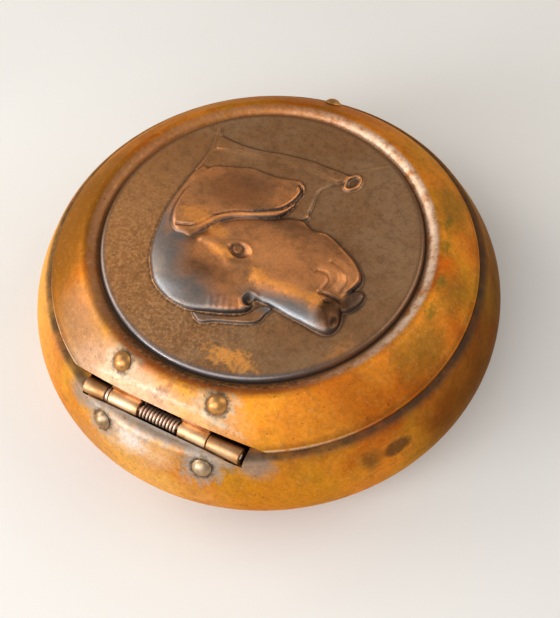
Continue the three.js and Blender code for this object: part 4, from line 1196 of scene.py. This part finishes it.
def lid_leaf(material):
    start, end = LID_LEAF_SPAN
    path = offset_path([p for p in lid_path() if start < p[0] < end], -LEAF_OFFSET)
    path = [p for p in path if p[0] > start][::-1]
    widths = plate_widths([p[0] - path[-1][0] for p in path], LID_LEAF_HALF, LEAF_CORNER)
    verts, faces = curved_plate(path, widths, LEAF_THICKNESS)
    limit = HINGE_Y - LID_LEAF_BACK
    verts = [(x, min(y, limit), z) for x, y, z in verts]
    lugs = []
    inner, outer = HINGE_Y - BARREL_RADIUS, HINGE_Y - BARREL_RADIUS + LEAF_THICKNESS
    drop = LEAF_OFFSET / math.cos(math.radians(LUG_SLOPE)) + OVERLAP
    for high, low in (SECOND_KNUCKLE, THIRD_KNUCKLE):
        columns = []
        for x in np.linspace(low, high, 9):
            (_, top), _ = surface_at(lid_path(), math.hypot(x, inner))
            columns.append((x, top - drop))
        lugs.append(wall_of(columns, inner, outer, HINGE_Z))
        columns = [(x, top + OVERLAP) for x, top in columns]
        lugs.append(wall_of(columns, HINGE_Y - LUG_BACK, inner + OVERLAP, None))
    shape = joined((verts, faces), *lugs, knuckle(SECOND_KNUCKLE), knuckle(THIRD_KNUCKLE))
    make_piece("inner_knuckles_and_leaf", *shape, material, "lid", ("lid_hinge_leaf",), "hinge_brass")


def rivet_profile(stack):
    """Head, shank and peened end of a rivet that holds a stack of sheets, from the top down."""
    sphere = (HEAD_RADIUS ** 2 + HEAD_HEIGHT ** 2) / (2 * HEAD_HEIGHT)
    half = math.degrees(math.asin(HEAD_RADIUS / sphere))
    dome = arc((0, HEAD_GAP + HEAD_HEIGHT - sphere), sphere, 0, half, 12)
    inside = -stack - HEAD_GAP
    peen = arc((PEEN_RADIUS - PEEN_ROUND, inside - PEEN_ROUND), PEEN_ROUND, 90, 180, 4)
    shank = [(SHANK_RADIUS, HEAD_GAP), (SHANK_RADIUS, inside), (PEEN_RADIUS, inside)]
    return dome + shank + peen + [(0.0, inside - PEEN_HEIGHT)]


def rivet(name, material, body, path, radius, azimuth, stack):
    (r, z), normal = surface_at(path, radius)
    verts, faces = turned([(max(p, 0.0), q) for p, q in rivet_profile(stack)], 48)
    rng = np.random.default_rng(SEED + len(name))
    tilt = rng.uniform(-HEAD_TILT, HEAD_TILT, 2)
    verts = [(x, y, q + (x * tilt[0] + y * tilt[1]) * (q > 0.3)) for x, y, q in verts]
    lean = math.atan2(normal.x, normal.y)
    matrix = Matrix.Rotation(azimuth, 4, "Z") @ Matrix.Translation((r, 0, z)) @ Matrix.Rotation(lean, 4, "Y")
    make_piece(name + "_head", moved(verts, matrix), faces, material, body, (name,), "rivet_brass")


def spring(material):
    radius = BARREL_RADIUS - HEAD_GAP - SPRING_WIRE / 2
    start_x = THIRD_KNUCKLE[0] + SPRING_GAP + SPRING_WIRE / 2
    end_x = SECOND_KNUCKLE[1] - SPRING_GAP - SPRING_WIRE / 2
    low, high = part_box("hinge_spring")
    body_tip = Vector((start_x, high[1] / MM - 0.2, low[2] / MM + 0.25))
    lid_tip = Vector((end_x, low[1] / MM + 0.2, high[2] / MM - 0.3))

    def touch(tip, sign):
        dy, dz = tip.y - HINGE_Y, tip.z - HINGE_Z
        return math.atan2(dz, dy) + sign * math.acos(radius / math.hypot(dy, dz))

    start = touch(body_tip, -1)
    end = touch(lid_tip, 1)
    while start - end < 2 * math.pi * SPRING_TURNS:
        end -= 2 * math.pi
    steps = 24 * SPRING_TURNS
    points = [body_tip]
    for i in range(steps + 1):
        angle = start + (end - start) * i / steps
        x = start_x + (end_x - start_x) * i / steps
        points.append((x, HINGE_Y + radius * math.cos(angle), HINGE_Z + radius * math.sin(angle)))
    points.append(lid_tip)
    shape = tube(points, SPRING_WIRE / 2)
    make_piece("coil_spring", *shape, material, "body", ("hinge_spring",), "spring_steel", 80)


def pin_and_washer(material):
    low, high = LAST_KNUCKLE[1] - PIN_END, FIRST_KNUCKLE[0] + PIN_END
    narrow = PIN_RADIUS - PIN_CHAMFER
    profile = [
        (0.0, low), (narrow, low), (PIN_RADIUS, low + PIN_CHAMFER), (PIN_RADIUS, high - PIN_CHAMFER),
        (narrow, high), (0.0, high),
    ]
    make_piece("pin_wire", *along_hinge(profile, 32), material, "body", ("hinge_pin",), "spring_steel")
    washer = knuckle(WASHER, radius=BARREL_RADIUS - 0.1, round_off=0.1)
    make_piece("washer_ring", *washer, material, "body", ("hinge_washer",), "spring_steel")


def catch(material, rivet_material):
    """A sprung strip that hangs from the far rivet and bends down inside the mouth."""
    low, high = CATCH_SPAN
    depth = LEAF_OFFSET + 0.25
    foot = offset_path([p for p in ring_path(2 * CURVE_STEPS) if low < p[0] < high], -depth)[::-1]
    end = foot[-1]
    press = (MOUTH_RADIUS - CATCH_CLEARANCE, LEDGE_HEIGHT - LIP_BEND - LIP_DROP / 2)
    fall = [
        end, (end[0] - 0.45, end[1] - 0.15), (end[0] - 0.55, end[1] - 0.8), (press[0] - 0.35, press[1] + 1.1),
        press, (press[0] - 0.35, press[1] - 1), (press[0] - 1.1, LEDGE_HEIGHT - 4.2),
    ]
    strip = foot[:-1] + [tuple(p) for p in spline(fall, False, 6)]
    sides = [offset_path(strip, CATCH_SHEET / 2), offset_path(strip, -CATCH_SHEET / 2)]
    distances = [math.hypot(p[0] - strip[-1][0], p[1] - strip[-1][1]) for p in strip]
    widths = plate_widths(distances, CATCH_HALF, CATCH_CORNER)
    verts, faces = [], []
    for side in sides:
        for (r, z), half in zip(side, widths):
            verts += [(r, -half, z), (r, half, z)]
    count = 2 * len(strip)
    for i in range(len(strip) - 1):
        a = 2 * i
        faces += [(a, a + 1, a + 3, a + 2), (count + a, count + a + 2, count + a + 3, count + a + 1)]
        faces += [(a, a + 2, count + a + 2, count + a), (a + 1, count + a + 1, count + a + 3, a + 3)]
    last = count - 2
    faces += [(0, count, count + 1, 1), (last, last + 1, count + last + 1, count + last)]
    azimuth = -math.pi / 2 + math.radians(CATCH_ANGLE)
    shape = moved(verts, Matrix.Rotation(azimuth, 4, "Z")), faces
    make_piece("sprung_catch", *shape, material, "lid", ("catch_tongue",), "hinge_brass", 40)
    stack = LEAF_OFFSET + CATCH_SHEET
    rivet("catch_rivet", rivet_material, "lid", lid_path(), CATCH_RIVET_RADIUS, azimuth, stack)


def rivets(lid_material, body_material):
    for body, path, radius, x, stem, material in (
        ("lid", lid_path(), LID_RIVET_RADIUS, LID_RIVET_X, "lid_rivet_", lid_material),
        ("body", shoulder_path(), BODY_RIVET_RADIUS, BODY_RIVET_X, "body_rivet_", body_material),
    ):
        for sign, side in ((1, "left"), (-1, "right")):
            azimuth = math.pi / 2 - math.asin(sign * x / radius)
            rivet(stem + side, material, body, path, radius, azimuth, LEAF_OFFSET + LEAF_THICKNESS)


# Camera of the photograph, solved from the box's circles: angles in degrees, distance in millimetres
CAMERA_AZIMUTH = 213.35
CAMERA_ELEVATION = 59.17
CAMERA_DISTANCE = 177.2
CAMERA_ROLL = -6.78
AIM_SHIFT = (-9.73, 7.39)
FOCAL_PIXELS = 864.77
PHOTO_HEIGHT = 618
SENSOR = 36.0


def camera():
    data = bpy.data.cameras.new("camera")
    data.sensor_width = SENSOR
    data.lens = FOCAL_PIXELS * SENSOR / PHOTO_HEIGHT
    data.clip_start = 0.01
    eye = bpy.data.objects.new("camera", data)
    bpy.context.scene.collection.objects.link(eye)
    elevation = math.radians(CAMERA_ELEVATION)
    spin = Matrix.Rotation(math.radians(CAMERA_AZIMUTH), 3, "Z")
    back = spin @ Vector((0, -math.cos(elevation), math.sin(elevation)))
    right = spin @ Vector((1, 0, 0))
    up = back.cross(right)
    turn_x, turn_y = (math.atan2(shift, FOCAL_PIXELS) for shift in AIM_SHIFT)
    roll = math.radians(CAMERA_ROLL)
    aim = -back
    side = right * math.cos(turn_x) + aim * math.sin(turn_x)
    aim = aim * math.cos(turn_x) - right * math.sin(turn_x)
    rise = up * math.cos(turn_y) - aim * math.sin(turn_y)
    aim = up * math.sin(turn_y) + aim * math.cos(turn_y)
    final_right = side * math.cos(roll) + rise * math.sin(roll)
    final_up = rise * math.cos(roll) - side * math.sin(roll)
    rotation = Matrix((final_right, final_up, -aim)).transposed()
    eye.matrix_world = Matrix.Translation(back * CAMERA_DISTANCE * MM) @ rotation.to_4x4()
    bpy.context.scene.camera = eye


def lamp(name, direction, distance, size, power, colour):
    data = bpy.data.lights.new(name, "AREA")
    data.size = size
    data.energy = power
    data.color = colour
    place = Vector(direction).normalized() * distance
    light = bpy.data.objects.new(name, data)
    light.matrix_world = Matrix.Translation(place) @ place.to_track_quat("Z", "Y").to_matrix().to_4x4()
    bpy.context.scene.collection.objects.link(light)


def studio():
    world = bpy.data.worlds.new("studio")
    bpy.context.scene.world = world
    world.use_nodes = True
    world.node_tree.nodes["Background"].inputs["Color"].default_value = (0.95, 0.93, 0.9, 1)
    world.node_tree.nodes["Background"].inputs["Strength"].default_value = 0.42
    lamp("window", (0.1, 1.0, 0.85), 0.6, 0.5, 2.3, (0.98, 0.98, 1.0))
    lamp("low_window", (0.58, 0.8, 0.36), 0.6, 0.2, 1.7, (0.9, 0.95, 1.0))
    lamp("side", (1.0, 0.2, 0.6), 0.6, 0.4, 1.7, (1.0, 0.96, 0.9))
    lamp("far_side", (-0.8, -0.6, 0.9), 0.6, 0.4, 0.9, (1.0, 0.96, 0.9))
    verts, faces = [(-900, -900, 0), (900, -900, 0), (900, 900, 0), (-900, 900, 0)], [(0, 1, 2, 3)]
    finish = Finish("pale_floor")
    finish.colour = finish.mix(finish.noise(60, 3), (214, 212, 208), (222, 220, 216))
    material = finish.done(0.0, 0.8, [(finish.noise(2, 3), 0.02)])
    floor = make_piece("floor", verts, faces, material, None, (), None)


def build():
    camera()
    studio()
    hinge_brass = small_metal_finish("hinge_brass_patina", (194, 152, 112), (164, 116, 70), 5, 0.34)
    tab_brass = small_metal_finish("inner_knuckle_patina", (226, 188, 148), (186, 140, 92), 4, 0.34)
    rivet_brass = small_metal_finish("rivet_brass_patina", (206, 148, 84), (172, 126, 80), 3, 0.28)
    worn_rivet = small_metal_finish("worn_rivet_patina", (190, 166, 138), (152, 122, 88), 3, 0.3)
    steel = small_metal_finish("browned_wire", (196, 160, 138), (226, 196, 172), 2, 0.32)
    body_shell(body_finish())
    lid_shell(lid_finish())
    medallion(medallion_finish())
    body_leaf(hinge_brass)
    lid_leaf(tab_brass)
    rivets(rivet_brass, worn_rivet)
    spring(steel)
    pin_and_washer(steel)
    catch(hinge_brass, rivet_brass)


build()
bpy.context.scene.view_settings.view_transform = "Standard"
